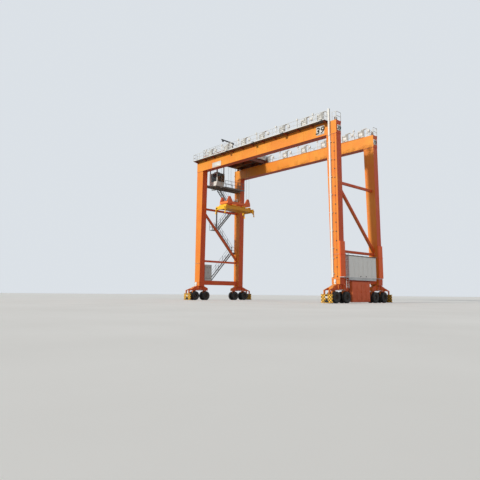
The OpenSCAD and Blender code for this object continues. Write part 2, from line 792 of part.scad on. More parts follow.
// Service jib: a mast with its winch and a beam with its hook block, for work on the machinery.
module service_jib() {
    color("#3A3B3D") translate([trolley_x + 1150, -1750, deck_z]) rotate([0, 0, 8]) {
        cylinder(d = 220, h = jib_h);
        span_box([-250, -250, 0], [250, 250, 30]);
        span_box([-170, -330, 250], [170, -60, 700]);
        along_x(-60, 60)
            polygon([[350, jib_h], [-2700, jib_h], [-2700, jib_h + 150], [0, jib_h + 220], [350, jib_h + 170]]);
        span_box([-80, -2500, jib_h - 220], [80, -2240, jib_h]);
    }
}

// Handrails round the trolley's end trucks and deck.
module trolley_handrails() {
    top = truck_low + truck_h;
    edge = row + truck_w / 2;
    color(galvanised) translate([trolley_x, 0, 0]) {
        for (y = [-edge, edge - tube]) handrail_x(-trolley_half, trolley_half, y, top);
        for (x = [-trolley_half, trolley_half - tube]) {
            handrail_y(-edge, -edge + truck_w, x, top, 900);
            handrail_y(edge - truck_w, edge, x, top, 900);
            handrail_y(-edge + truck_w, edge - truck_w, x, deck_z, 1500);
        }
    }
}

// The cabin's window openings as boxes, each `deep` thick and starting `back` behind its wall's outer face.
module cabin_windows(deep, back) {
    half = cabin_w / 2;
    // two front windows beside a middle bar
    for (y = [110, half + 30])
        span_box([cabin_l - back, y, 740], [cabin_l - back + deep, y + half - 140, cabin_h - 140]);
    // side windows, the door side shorter
    span_box([520, back - deep, 760], [cabin_l - 170, back, cabin_h - 160]);
    span_box([980, cabin_w - back, 760], [cabin_l - 170, cabin_w - back + deep, cabin_h - 160]);
    // rear window
    span_box([back - deep, 250, 900], [back, cabin_w - 250, cabin_h - 200]);
    // view down through the floor
    span_box([cabin_l - cabin_rake - 720, 260, back - deep],
        [cabin_l - cabin_rake - 120, cabin_w - 260, back]);
}

// Operator's cabin: a hollow box with window openings, a door side and a raked front.
module cabin() {
    t = cabin_wall;
    nose = cabin_l - cabin_rake;
    color("#E9EAE6") translate([trolley_x + cabin_x, cabin_y, cabin_low]) difference() {
        along_y(0, cabin_w)
            polygon([[0, 0], [nose, 0], [cabin_l, rake_z], [cabin_l, cabin_h], [0, cabin_h]]);
        along_y(t, cabin_w - t)
            polygon([[t, t], [nose - t / 2, t], [cabin_l - t, rake_z],
                [cabin_l - t, cabin_h - t], [t, cabin_h - t]]);
        cabin_windows(t + 10, t + 5);
    }
}

// Panes in the cabin's window openings.
module cabin_glazing() {
    color("#2A3238") translate([trolley_x + cabin_x, cabin_y, cabin_low])
        cabin_windows(pane_t, cabin_wall / 2 + pane_t / 2);
}

// Hoist

// Eight falls of rope between the trolley and the headblock sheaves.
module hoist_ropes() {
    r = sheave_d / 2 + rope_d / 2 + eps;
    color("#4A4B4C") for (x = [-1, 1], y = [-1, 1], f = [-1, 1])
        translate([trolley_x + x * sheave_x, y * sheave_y + f * r, sheave_z])
            cylinder(d = rope_d, h = lift_z - sheave_z, $fn = 16);
}

// Grooved sheave with its pin, turned about X.
module sheave() {
    r = sheave_d / 2;
    rotate([0, 90, 0]) {
        cylinder(d = 90, h = 230, center = true);
        rotate_extrude()
            polygon([[0, -70], [r + 40, -70], [r + 40, -50], [r, -20],
                [r, 20], [r + 40, 50], [r + 40, 70], [0, 70]]);
    }
}

// Headblock: two long beams, cross beams, sheaves in their cheeks and the lugs to the spreader.
module headblock() {
    half = sheave_y + 450;
    pin_z = sheave_z - block_low;
    color(paint) translate([trolley_x, 0, block_low]) {
        for (s = [-1, 1]) translate([s * sheave_x, 0, 0])
            span_box([-130, -half, 0], [130, half, beam_h]);
        for (y = [-half + 150, 0, half - 150])
            span_box([-sheave_x, y - 150, 0], [sheave_x, y + 150, beam_h]);
        for (x = [-1, 1], y = [-1, 1]) translate([x * sheave_x, y * sheave_y, 0]) {
            for (c = [-1, 1]) along_x(c * 85 - 15, c * 85 + 15)
                polygon([[-260, beam_h], [260, beam_h], [110, pin_z + 90], [-110, pin_z + 90]]);
            translate([0, 0, pin_z]) sheave();
        }
        for (x = [-1, 1], y = [-1, 1]) translate([x * sheave_x, y * 1100, spreader_z - block_low])
            cylinder(d = 150, h = block_low - spreader_z);
    }
}

// One hollow sleeve of the spreader, with slide pads at its mouth.
module sleeve(x, mouth) {
    half = sleeve_w / 2;
    inside = half - sleeve_wall;
    top = sleeve_h - sleeve_wall;
    translate([x, 0, sleeve_z]) {
        difference() {
            span_box([-half, -frame_l / 2, 0], [half, frame_l / 2, sleeve_h]);
            span_box([-inside, -frame_l / 2 - 5, sleeve_wall], [inside, frame_l / 2 + 5, top]);
        }
        for (z = [sleeve_wall, top - pad + eps]) translate([0, mouth * (frame_l / 2 - 100), z])
            span_box([-inside, -100, 0], [inside, 100, pad - eps]);
    }
}

// Main frame of the spreader: four sleeves side by side under a yellow deck.
module spreader_frame() {
    wide = arm_out_x + sleeve_w / 2;
    half = frame_l / 2;
    top = sleeve_z + sleeve_h;
    color(yellow) translate([trolley_x, 0, 0]) {
        for (s = [-1, 1]) {
            sleeve(s * arm_in_x, -1);
            sleeve(s * arm_out_x, 1);
            // side plates
            translate([s * (wide + 15), 0, 0])
                span_box([-15, -half, sleeve_z], [15, half, top + 30]);
            // stiff frames over the sleeves' mouths
            translate([0, s * (half - 200), 0])
                span_box([-wide, -200, top + 30], [wide, 200, spreader_z]);
            // seats of the headblock's lugs
            translate([0, s * 1100, 0])
                span_box([-wide - 110, -260, top], [wide + 110, 260, spreader_z]);
        }
        span_box([-wide, -half, top], [wide, half, top + 30]);
        // drive boxes
        for (x = [-wide + 120, wide - 620])
            span_box([x, -500, top + 30], [x + 500, 500, top + 190]);
    }
}

// Twistlock and corner casting at one end of an end beam, with the pin of the corner guide.
module spreader_corner() {
    pin_y = guide_y - corner_y;
    span_box([-90, -146, -300], [90, 103, -120]);
    translate([0, 0, -330]) cylinder(d = 56, h = 40);
    translate([0, 0, -420]) cylinder(d1 = 30, d2 = 90, h = 90);
    for (e = [-1, 1]) translate([e * 75, 0, guide_z - sleeve_z])
        span_box([-10, 104, -80], [10, 230, 80]);
    translate([0, pin_y, guide_z - sleeve_z]) rotate([0, 90, 0])
        cylinder(d = guide_pin, h = 190, center = true);
}

// Telescopic arm: two beams in their sleeves, and the end beam with its corners.
module spreader_arm(s) {
    x_beam = s < 0 ? arm_in_x : arm_out_x;
    w = sleeve_w - 2 * sleeve_wall - 2 * pad;
    low = sleeve_wall + pad;
    end = spreader_l / 2;
    color(yellow) translate([trolley_x, 0, sleeve_z]) corner(1, s) {
        for (x = [-x_beam, x_beam])
            span_box([x - w / 2, -beam_gap, low], [x + w / 2, end - end_w, sleeve_h - low]);
        span_box([-spreader_w / 2, end - end_w, -120], [spreader_w / 2, end, sleeve_h - 60]);
        for (c = [-1, 1]) translate([c * corner_x, corner_y, 0]) spreader_corner();
    }
}
module spreader_arm_front() spreader_arm(-1);
module spreader_arm_rear() spreader_arm(1);

// Corner guide arms of one end: they hang outside the end beam and swing up about their pins.
module guide_arms(s) {
    low = -guide_l;
    color(yellow) translate([trolley_x, 0, guide_z]) corner(1, s)
        for (c = [-1, 1]) translate([c * corner_x, guide_y, 0]) {
            along_x(-55, 55) difference() {
                union() {
                    polygon([[-45, 0], [45, 0], [38, low + 260], [90, low], [60, low], [-5, low + 240]]);
                    circle(d = 120);
                }
                circle(r = guide_pin / 2 + running);
            }
            // flared shoe
            along_x(-120, 120)
                polygon([[5, low + 300], [35, low + 300], [35, low + 260],
                    [92, low], [62, low], [5, low + 255]]);
        }
}
module guide_arms_front() guide_arms(-1);
module guide_arms_rear() guide_arms(1);

// Parts

girder_front();
girder_rear();
crane_rails();
leg_left_front();
leg_right_front();
leg_left_rear();
leg_right_rear();
sill_beams();
side_bracing_left();
side_bracing_right();
bogie_beams_left();
bogie_beams_right();
bumpers();
fork_left_front_outer();
fork_left_front_inner();
fork_left_rear_inner();
fork_left_rear_outer();
fork_right_front_outer();
fork_right_front_inner();
fork_right_rear_inner();
fork_right_rear_outer();
wheels_left_front_outer();
wheels_left_front_inner();
wheels_left_rear_inner();
wheels_left_rear_outer();
wheels_right_front_outer();
wheels_right_front_inner();
wheels_right_rear_inner();
wheels_right_rear_outer();
electrical_house();
house_platform();
generator_enclosure();
sill_cabinet();
cable_conduit();
walkway_front();
walkway_rear();
access_ladders();
stair_flight_1();
stair_flight_2();
stair_flight_3();
stair_flight_4();
stair_landings();
cabin_landing();
landing_beams();
trolley_frame();
trolley_wheels();
hoist_machinery();
trolley_house();
service_jib();
trolley_handrails();
cabin();
cabin_glazing();
hoist_ropes();
headblock();
spreader_frame();
spreader_arm_front();
spreader_arm_rear();
guide_arms_front();
guide_arms_rear();
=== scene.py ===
"""Rubber tyred gantry crane: tyres, ropes, fittings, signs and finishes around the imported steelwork."""

import json
import math
from functools import partial

import bpy
import numpy as np
from bpy.props import FloatProperty, IntProperty, PointerProperty, StringProperty
from mathutils import Matrix, Vector

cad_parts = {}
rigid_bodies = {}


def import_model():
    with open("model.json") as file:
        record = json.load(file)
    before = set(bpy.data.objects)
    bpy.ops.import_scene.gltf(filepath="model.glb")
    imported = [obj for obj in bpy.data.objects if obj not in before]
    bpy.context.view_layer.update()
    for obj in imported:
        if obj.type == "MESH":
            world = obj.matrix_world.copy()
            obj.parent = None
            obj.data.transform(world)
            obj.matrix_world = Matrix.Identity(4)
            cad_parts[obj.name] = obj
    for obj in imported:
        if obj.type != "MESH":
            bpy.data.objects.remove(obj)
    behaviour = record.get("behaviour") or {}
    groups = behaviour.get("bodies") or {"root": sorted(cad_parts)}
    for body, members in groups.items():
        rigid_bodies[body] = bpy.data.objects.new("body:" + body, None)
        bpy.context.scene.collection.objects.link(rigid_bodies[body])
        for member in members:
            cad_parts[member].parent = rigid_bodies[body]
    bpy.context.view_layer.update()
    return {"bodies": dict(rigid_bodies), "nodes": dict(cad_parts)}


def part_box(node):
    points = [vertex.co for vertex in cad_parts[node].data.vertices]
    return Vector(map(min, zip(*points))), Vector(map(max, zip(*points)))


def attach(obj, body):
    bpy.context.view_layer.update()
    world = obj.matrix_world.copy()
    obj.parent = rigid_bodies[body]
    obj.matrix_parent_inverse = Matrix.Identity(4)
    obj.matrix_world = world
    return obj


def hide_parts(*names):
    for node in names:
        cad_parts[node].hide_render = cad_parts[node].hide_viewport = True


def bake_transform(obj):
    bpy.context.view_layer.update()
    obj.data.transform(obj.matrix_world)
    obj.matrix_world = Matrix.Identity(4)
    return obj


bl_info = {
    "name": "Gantry Crane Dresser",
    "version": (1, 0, 0),
    "blender": (4, 5, 0),
    "location": "3D View > Sidebar > Crane",
    "description": "Builds the visible details and finishes of a rubber tyred gantry crane",
    "category": "Add Mesh",
}

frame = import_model()
NODES = frame["nodes"]

# Sizes in metres that the frame's boxes don't give directly
FLANGE = 0.04
LEG_FOOT, LEG_JOINT = 2.75, 5.70
# middles of the equaliser pins and of the sills
PIN_Z, SILL_Z = 1.95, 2.72
GIRDER_LOW, GIRDER_TOP = 20.62, 22.28
# outer faces of the legs, and their middles along the girders and across them
OUT, LINE, ROW = 13.825, 13.235, 4.16
# inner and outer faces of the girders and legs, and the walkways' outer edge
INNER_Y, OUTER_Y, WALK_EDGE = 3.68, 4.64, 5.5
# a tyre's width and the radius of its beads
TYRE_WIDTH, BEAD = 0.375, 0.315
# middles of the electrical house, the generator and the cabin
POWER_X, GENERATOR_Y, CABIN_Y = 13.05, -0.28, -1.65
# the trolley's middle and the top of its deck, the drums' axis over it and the motor's
TROLLEY_X, DECK_Z = -9.6, 22.92
DRUM_Y, DRUM_Z, MOTOR_Z = -0.7, DECK_Z + 0.76, DECK_Z + 0.56
# tops of the headblock's middle beam and of the spreader's deck
HEADBLOCK_TOP, SPREADER_TOP = 15.53, 14.81

SIDES = (-1, 1)
X_SIDES = ((-1, "-x"), (1, "+x"))
Y_SIDES = ((-1, "-y"), (1, "+y"))
LEGS = [(sx * LINE, sy * ROW) for sx in SIDES for sy in SIDES]


def box_of(node):
    """A node's lowest and highest corner as arrays."""
    low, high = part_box(node)
    return np.array(low), np.array(high)


# Colours and materials

# What makes a Mix node mix colours, on its third output
RGBA = {"out": 2, "data_type": "RGBA"}


def hex_linear(text):
    """An sRGB hex colour as linear RGBA: c/12.92 up to 0.04045, else ((c+0.055)/1.055)^2.4."""
    c = np.array([int(text[i : i + 2], 16) / 255 for i in (1, 3, 5)])
    lin = np.where(c <= 0.04045, c / 12.92, ((c + 0.055) / 1.055) ** 2.4)
    return (*(float(x) for x in lin), 1.0)


def add_node(tree, kind, inputs=None, out=0, **settings):
    """Adds a shader node with its settings, links and sRGB hex colours, and returns its output `out`."""
    node = tree.nodes.new("ShaderNode" + kind)
    for key, value in settings.items():
        setattr(node, key, value)
    for key, value in (inputs or {}).items():
        if isinstance(value, bpy.types.NodeSocket):
            tree.links.new(value, node.inputs[key])
        else:
            node.inputs[key].default_value = hex_linear(value) if isinstance(value, str) else value
    if isinstance(out, tuple):
        return [node.outputs[i] for i in out]
    return node.outputs[out] if node.outputs else node


def new_material(name):
    """An empty node material, the call that adds nodes to it, and the place on the piece in metres."""
    material = bpy.data.materials.new(name)
    material.use_nodes = True
    material.node_tree.nodes.clear()
    add = partial(add_node, material.node_tree)
    return material, add, add("TexCoord", out="Object")


def weathered_paint_with_painted_light(
    name, shaded_paint, sunlit_paint, soot_and_shade="#3A2A22", sun=0.75, streak=0.18, rough=0.42, dust=0.3, rust=0.4, under=0.3, bands=()
):
    """Two-pack paint rolled on plate steel: lighter on the sides that face the sun, as sun bleaching and painted
    sunlight, with rain runs, rust spots and road dust.

    The first two colours are the paint as painted shade and as painted sunlight with bleaching, and the third darkens
    rain runs and, as painted shade, undersides. sun is how far the sides that face the sun and the tops take the
    sunlit colour. streak, dust, rust and under are the strengths of rain runs, of dust on the lowest three metres, of
    rust spots and of grime with painted shade on undersides. Each band is an axis, a place on it and the paint that
    begins there.
    """
    material, add, place = new_material(name)
    xyz = add("SeparateXYZ", {0: place}, out=(0, 1, 2))
    ny, nz = add("SeparateXYZ", {0: add("NewGeometry", out="Normal")}, out=(1, 2))
    patches = add("TexNoise", {"Vector": place, "Scale": 0.45, "Detail": 3.0})
    # the sides that look to the sun, and the tops, take the lighter colour in patches some 2 m across: sun bleaching,
    # and painted sunlight against painted shade on the other sides
    front = add("MapRange", {0: ny, 1: -0.1, 2: -0.9})
    top = add("MapRange", {0: nz, 1: 0.2, 2: 0.9})
    sunny = add("Math", {0: front, 1: top}, operation="MAXIMUM")
    uneven = add("MapRange", {0: patches, 1: 0.35, 2: 0.7, 3: -0.16, 4: 0.16})
    bleach_and_painted_sun = add("Math", {0: sunny, 1: sun, 2: uneven}, operation="MULTIPLY_ADD", use_clamp=True)
    colour = add("Mix", {0: bleach_and_painted_sun, 6: shaded_paint, 7: sunlit_paint}, **RGBA)
    for axis, above, paint in bands:
        share = add("Math", {0: xyz[axis], 1: above}, operation="GREATER_THAN")
        colour = add("Mix", {0: share, 6: colour, 7: paint}, **RGBA)
    # rain carries soot down from ledges in runs some 80 mm wide and 2 m long
    upright = add("Mapping", {0: place, 3: (1, 1, 0.04)})
    runs = add("TexNoise", {"Vector": upright, "Scale": 9.0, "Detail": 2.0})
    runs = add("MapRange", {0: runs, 1: 0.52, 2: 0.8, 4: streak})
    wet = add("MapRange", {0: patches, 1: 0.38, 2: 0.62})
    runs = add("Math", {0: runs, 1: wet}, operation="MULTIPLY")
    # oil mist and exhaust darken what looks down, and this darkening of undersides is also painted shade under things
    underside_grime_and_shade = add("MapRange", {0: nz, 1: -0.4, 2: -0.95, 4: under})
    soot_runs_and_painted_shade = add("Math", {0: runs, 1: underside_grime_and_shade}, operation="MAXIMUM")
    colour = add("Mix", {0: soot_runs_and_painted_shade, 6: colour, 7: soot_and_shade}, **RGBA)
    # rust comes through chips 20 to 60 mm wide
    chips = add("TexNoise", {"Vector": place, "Scale": 11.0, "Detail": 6.0, "Roughness": 0.65})
    spots = add("MapRange", {0: chips, 1: 0.69, 2: 0.74, 4: rust})
    colour = add("Mix", {0: spots, 6: colour, 7: "#6E3318"}, **RGBA)
    # road dust and tyre black lie on the lowest three metres
    low = add("MapRange", {0: xyz[2], 1: 0.2, 2: 3.0, 3: dust, 4: 0.0})
    clouds = add("TexNoise", {"Vector": place, "Scale": 2.1, "Detail": 5.0})
    clouds = add("MapRange", {0: clouds, 1: 0.3, 2: 0.7, 3: 0.35})
    dirty = add("Math", {0: low, 1: clouds}, operation="MULTIPLY")
    colour = add("Mix", {0: dirty, 6: colour, 7: "#5B4A3E"}, **RGBA)
    dull = add("MapRange", {0: clouds, 3: rough - 0.06, 4: rough + 0.12})
    dull = add("Math", {0: dull, 1: dirty}, operation="ADD", use_clamp=True)
    # plates pull in a few millimetres between their stiffeners, and the roller leaves a 10 mm grain
    plates = add("TexNoise", {"Vector": place, "Scale": 0.8, "Detail": 1.0})
    roller = add("TexNoise", {"Vector": place, "Scale": 90.0, "Detail": 2.0})
    height = add("Math", {0: roller, 1: 0.05, 2: plates}, operation="MULTIPLY_ADD")
    bump = add("Bump", {"Height": height, "Strength": 0.3, "Distance": 0.02})
    shader = add("BsdfPrincipled", {"Base Color": colour, "Roughness": dull, "Normal": bump})
    add("OutputMaterial", {"Surface": shader})
    return material


def zinc_steel(name):
    """Hot-dip galvanised steel, a few years old: dull grey zinc with a spangle 20 mm across, chalky in the sun."""
    material, add, place = new_material(name)
    spangle = add("RGBToBW", {0: add("TexVoronoi", {"Vector": place, "Scale": 45.0}, out="Color")})
    cloud = add("TexNoise", {"Vector": place, "Scale": 1.6, "Detail": 4.0})
    cloud = add("MapRange", {0: cloud, 1: 0.3, 2: 0.7, 4: 0.6})
    share = add("Math", {0: spangle, 1: 0.3, 2: cloud}, operation="MULTIPLY_ADD", use_clamp=True)
    colour = add("Mix", {0: share, 6: "#E0E2E1", 7: "#A9ADB0"}, **RGBA)
    dull = add("MapRange", {0: spangle, 3: 0.42, 4: 0.6})
    shader = add("BsdfPrincipled", {"Base Color": colour, "Roughness": dull, "Metallic": 0.3})
    add("OutputMaterial", {"Surface": shader})
    return material


def chequer_plate(name):
    """Galvanised chequer plate of treads and landings: raised lozenges 40 mm apart on dull zinc, trodden brown."""
    material, add, place = new_material(name)
    nz = add("SeparateXYZ", {0: add("NewGeometry", out="Normal")}, out=2)
    lozenge = add("MapRange", {0: nz, 1: 0.8, 2: 0.95})
    for angle in (0.785, -0.785):
        slanted = add("Mapping", {0: place, 2: (0, 0, angle)})
        wave = add("TexWave", {"Vector": slanted, "Scale": 7.9}, out=1)
        crest = add("MapRange", {0: wave, 1: 0.6, 2: 0.9})
        lozenge = add("Math", {0: lozenge, 1: crest}, operation="MULTIPLY")
    trodden = add("TexNoise", {"Vector": place, "Scale": 1.3, "Detail": 4.0})
    trodden = add("MapRange", {0: trodden, 1: 0.35, 2: 0.7, 4: 0.5})
    # the zinc is given a dark grey, partly as painted shade of the stairs, and brown where it is trodden
    colour = add("Mix", {0: trodden, 6: "#7A7E7F", 7: "#7A7268"}, **RGBA)
    colour = add("Mix", {0: lozenge, 6: colour, 7: "#989C9C"}, **RGBA)
    bump = add("Bump", {"Height": lozenge, "Strength": 0.6, "Distance": 0.004})
    shader = add("BsdfPrincipled", {"Base Color": colour, "Roughness": 0.55, "Metallic": 0.3, "Normal": bump})
    add("OutputMaterial", {"Surface": shader})
    return material


def worn_steel(name):
    """Rolled rail and wheel steel: bright where wheels run on top, brown with flash rust on the sides."""
    material, add, place = new_material(name)
    nz = add("SeparateXYZ", {0: add("NewGeometry", out="Normal")}, out=2)
    side = add("MapRange", {0: nz, 1: 0.5, 2: 0.95, 3: 0.9, 4: 0.15})
    bloom = add("TexNoise", {"Vector": place, "Scale": 8.0, "Detail": 5.0})
    bloom = add("MapRange", {0: bloom, 1: 0.35, 2: 0.65, 3: 0.4})
    rusty = add("Math", {0: side, 1: bloom}, operation="MULTIPLY")
    colour = add("Mix", {0: rusty, 6: "#8A8784", 7: "#6B4630"}, **RGBA)
    metal = add("MapRange", {0: rusty, 3: 1.0, 4: 0.1})
    dull = add("MapRange", {0: rusty, 3: 0.28, 4: 0.75})
    shader = add("BsdfPrincipled", {"Base Color": colour, "Roughness": dull, "Metallic": metal})
    add("OutputMaterial", {"Surface": shader})
    return material


def dusty_rubber(name, tone="#1D1D1E", dusted="#4A4641", grain=0.006):
    """Moulded rubber, vinyl or plastic: matt, greyed by yard dust, with a mould grain `grain` metres across."""
    material, add, place = new_material(name)
    dust = add("TexNoise", {"Vector": place, "Scale": 9.0, "Detail": 5.0})
    dust = add("MapRange", {0: dust, 1: 0.4, 2: 0.75, 4: 0.5})
    colour = add("Mix", {0: dust, 6: tone, 7: dusted}, **RGBA)
    dull = add("MapRange", {0: dust, 3: 0.6, 4: 1.0})
    mould = add("TexNoise", {"Vector": place, "Scale": 1 / grain, "Detail": 2.0})
    bump = add("Bump", {"Height": mould, "Strength": 0.3, "Distance": 0.002})
    shader = add("BsdfPrincipled", {"Base Color": colour, "Roughness": dull, "Normal": bump})
    add("OutputMaterial", {"Surface": shader})
    return material


def lattice_enamel(name, pitch):
    """Yellow enamel under crossed darker bands at 45 degrees, `pitch` metres apart, scuffed and dusty."""
    material, add, place = new_material(name)
    x, z = add("SeparateXYZ", {0: place}, out=(0, 2))
    bands = []
    for operation in ("ADD", "SUBTRACT"):
        slant = add("Math", {0: x, 1: z}, operation=operation)
        turns = add("Math", {0: slant, 1: 0.7071 / pitch}, operation="MULTIPLY")
        phase = add("Math", {0: turns}, operation="FRACT")
        bands.append(add("Math", {0: phase, 1: 0.72}, operation="GREATER_THAN"))
    crossing = add("Math", {0: bands[0], 1: bands[1]}, operation="MAXIMUM")
    colour = add("Mix", {0: crossing, 6: "#FFC234", 7: "#2A2118"}, **RGBA)
    scuffs = add("TexNoise", {"Vector": place, "Scale": 5.0, "Detail": 6.0})
    scuffs = add("MapRange", {0: scuffs, 1: 0.52, 2: 0.76, 4: 0.45})
    colour = add("Mix", {0: scuffs, 6: colour, 7: "#6E5B45"}, **RGBA)
    dull = add("MapRange", {0: scuffs, 3: 0.45, 4: 1.1})
    shader = add("BsdfPrincipled", {"Base Color": colour, "Roughness": dull})
    add("OutputMaterial", {"Surface": shader})
    return material


def greased_wire(name):
    """Greased steel wire rope: dark grease in the lay and bright crowns on the strands."""
    material, add, place = new_material(name)
    grease = add("TexNoise", {"Vector": place, "Scale": 3.3, "Detail": 3.0})
    grease = add("MapRange", {0: grease, 1: 0.3, 2: 0.7})
    colour = add("Mix", {0: grease, 6: "#3B3B3C", 7: "#75736F"}, **RGBA)
    shader = add("BsdfPrincipled", {"Base Color": colour, "Roughness": 0.45, "Metallic": 0.7})
    add("OutputMaterial", {"Surface": shader})
    return material


def tinted_glass(name):
    """Laminated cabin glass with a grey tint: mostly mirrors the sky, with a film of salt."""
    material, add, place = new_material(name)
    film = add("TexNoise", {"Vector": place, "Scale": 2.9, "Detail": 4.0})
    film = add("MapRange", {0: film, 1: 0.4, 2: 0.8})
    colour = add("Mix", {0: film, 6: "#4A5A62", 7: "#78858B"}, **RGBA)
    dull = add("MapRange", {0: film, 3: 0.03, 4: 0.16})
    glass = {"Base Color": colour, "Roughness": dull, "Transmission Weight": 0.6, "IOR": 1.5}
    add("OutputMaterial", {"Surface": add("BsdfPrincipled", glass)})
    return material


def lamp_lens(name):
    """Clear prismatic lens of a floodlight over a silver reflector, unlit, with prisms 17 mm across."""
    material, add, place = new_material(name)
    prisms = add("TexVoronoi", {"Vector": place, "Scale": 60.0})
    colour = add("Mix", {0: prisms, 6: "#F2F4F4", 7: "#AEB6BA"}, **RGBA)
    shader = add("BsdfPrincipled", {"Base Color": colour, "Roughness": 0.12, "Metallic": 0.3})
    add("OutputMaterial", {"Surface": shader})
    return material


def by_member(groups):
    """Turns groups written as words under a key into a key for each word."""
    return {member: key for key, members in groups.items() for member in members.split()}


# Every finish's material by name, filled by make_finishes
FINISHES = {}
# The finish of each node of the imported steelwork that isn't plain orange
CAD_FINISHES = by_member(
    {
        "newer_orange": "leg_right_front leg_right_rear",
        "girder": "girder_front girder_rear",
        "trolley": "trolley_frame",
        "platform": "landing_beams",
        "headblock": "headblock",
        "house": "electrical_house",
        "cabinet": "sill_cabinet",
        "generator": "generator_enclosure",
        "white": "cable_conduit trolley_house",
        "cabin": "cabin",
        "walkway": "walkway_front walkway_rear",
        "zinc": "house_platform access_ladders trolley_handrails",
        "chequer": "cabin_landing stair_landings stair_flight_1 stair_flight_2 stair_flight_3 stair_flight_4",
        "steel": "crane_rails trolley_wheels",
        "glass": "cabin_glazing",
        "dark": "service_jib",
        "yellow": "spreader_frame spreader_arm_front spreader_arm_rear guide_arms_front guide_arms_rear",
        "lattice": "bumpers",
        "machine": "hoist_machinery",
    }
)


def make_finishes(look):
    """All finishes by name, from the colours in the panel."""
    paint = (look.paint, look.paint_sunlit_and_bleached)
    enamel = partial(weathered_paint_with_painted_light, sun=0.7, streak=0.2, rough=0.35)
    oily = partial(weathered_paint_with_painted_light, soot_and_shade="#2B1E18", sun=0.5, streak=0.5)
    FINISHES.update(
        orange=weathered_paint_with_painted_light("two_pack_orange", *paint),
        newer_orange=weathered_paint_with_painted_light("two_pack_orange_newer", *paint, bands=[(0, OUT + 0.01, "#FF6A24")]),
        girder=weathered_paint_with_painted_light("girder_orange", look.paint, "#F09E30", sun=0.85),
        # the trolley frame is painted dark brown, darkest on its undersides: painted shade of the trolley under the
        # girders
        trolley=weathered_paint_with_painted_light("trolley_orange_painted_shade", "#6A3420", "#A4502A", "#1E1613", streak=0.6, under=0.9),
        headblock=weathered_paint_with_painted_light("headblock_orange", "#F4713A", "#F28A3C"),
        # landing beams: pale cream where they face the sun and dark brown elsewhere and below, as painted sunlight
        # and painted shade
        platform=weathered_paint_with_painted_light("platform_steel_painted_sun_and_shade", "#6B5F57", "#E9E0CC", sun=0.9, streak=0.3, under=0.7),
        house=weathered_paint_with_painted_light(
            "house_enamel", "#F6F6F3", "#F6F6F3", "#857D74", 0.7, 0.12, 0.38, dust=0.15, bands=[(2, 5.6, "#4A4642")]
        ),
        cabinet=weathered_paint_with_painted_light("cabinet_enamel", "#C4C1BD", "#D2CFCB", "#6E6862", sun=0.6, streak=0.2),
        generator=weathered_paint_with_painted_light("enclosure_enamel", "#EC6A3C", "#EC8648", "#4A2A1E", 0.6, 0.25, rough=0.45),
        white=enamel("white_enamel", "#DAD9D4", "#F2F1EC", "#77706A", rust=0.25),
        # above 20.585 m the cabin's white roof band is painted mid grey as painted shade
        cabin=enamel("cabin_enamel", "#D4D5D2", "#EDEDE8", "#6F6A64", rust=0.2, bands=[(2, 20.585, "#8B8D8F")]),
        yellow=weathered_paint_with_painted_light("spreader_yellow", "#EFA41A", "#FFCB2A", "#4A3A24", sun=0.7, streak=0.4, rust=0.7),
        dark=weathered_paint_with_painted_light("dark_enamel", "#26272B", "#3A3B40", "#1A1A1A", sun=0.6, streak=0.1, dust=0.2),
        machine=oily("machine_enamel", "#A04A26", "#C46A38"),
        rust_red=oily("oxide_primer", "#9A2E1C", "#B8452C"),
        rim=weathered_paint_with_painted_light("rim_enamel", "#33302D", "#4A443E", "#171514", 0.3, 0.4, dust=0.5, rust=0.6),
        # walkway: brackets under the deck take a darker orange as painted shade under the walkway, the deck and toe
        # board a dark grey-brown for the grating and as painted shade of the deck seen from below, and the rails zinc
        # above
        walkway=weathered_paint_with_painted_light(
            "walkway_steel_painted_shade", "#A5482B", "#C4623A", sun=0.6, streak=0.3,
            bands=[(2, GIRDER_TOP - 0.005, "#51463F"), (2, GIRDER_TOP + 0.055, "#DCDEDC")],
        ),
        zinc=zinc_steel("galvanised_rail"),
        chequer=chequer_plate("chequer_plate"),
        steel=worn_steel("rolled_steel"),
        rubber=dusty_rubber("tyre_rubber"),
        rope=greased_wire("steel_wire_rope"),
        glass=tinted_glass("cabin_glass"),
        lattice=lattice_enamel("bumper_enamel", look.band_pitch),
        gasket=dusty_rubber("window_gasket", "#161617", "#3A3937", 0.003),
        seat=dusty_rubber("seat_shell", "#2A2D33", "#4B4B4C", 0.008),
        ink=dusty_rubber("sign_black", "#151516", "#2C2A28", 0.003),
        lens=lamp_lens("lamp_lens"),
    )  # fmt: skip


# Surfaces


def grid_faces(rows, columns, closed_rows=False, closed_columns=False):
    """Quads of a grid of points numbered row by row, optionally joined end to start."""
    r = np.arange(rows if closed_rows else rows - 1)
    c = np.arange(columns if closed_columns else columns - 1)
    r, c = (a.ravel() for a in np.meshgrid(r, c, indexing="ij"))
    r2, c2 = (r + 1) % rows, (c + 1) % columns
    return np.stack([r * columns + c, r * columns + c2, r2 * columns + c2, r2 * columns + c], 1)


def tube_faces(rings, steps):
    """Faces over rings of points that follow one another, with both ends closed."""
    start = np.arange(steps)[None]
    return [grid_faces(rings, steps, closed_columns=True), start[:, ::-1], start + (rings - 1) * steps]


def ring_of(radius, count, axis=2, centre=(0, 0, 0)):
    """Points round an axis, from the next axis on: r cos t and r sin t, with one radius or one for each point."""
    t = np.arange(count) * 2 * np.pi / count
    eye = np.eye(3)
    around = np.cos(t)[:, None] * eye[(axis + 1) % 3] + np.sin(t)[:, None] * eye[(axis + 2) % 3]
    return around * np.reshape(radius, (-1, 1)) + centre


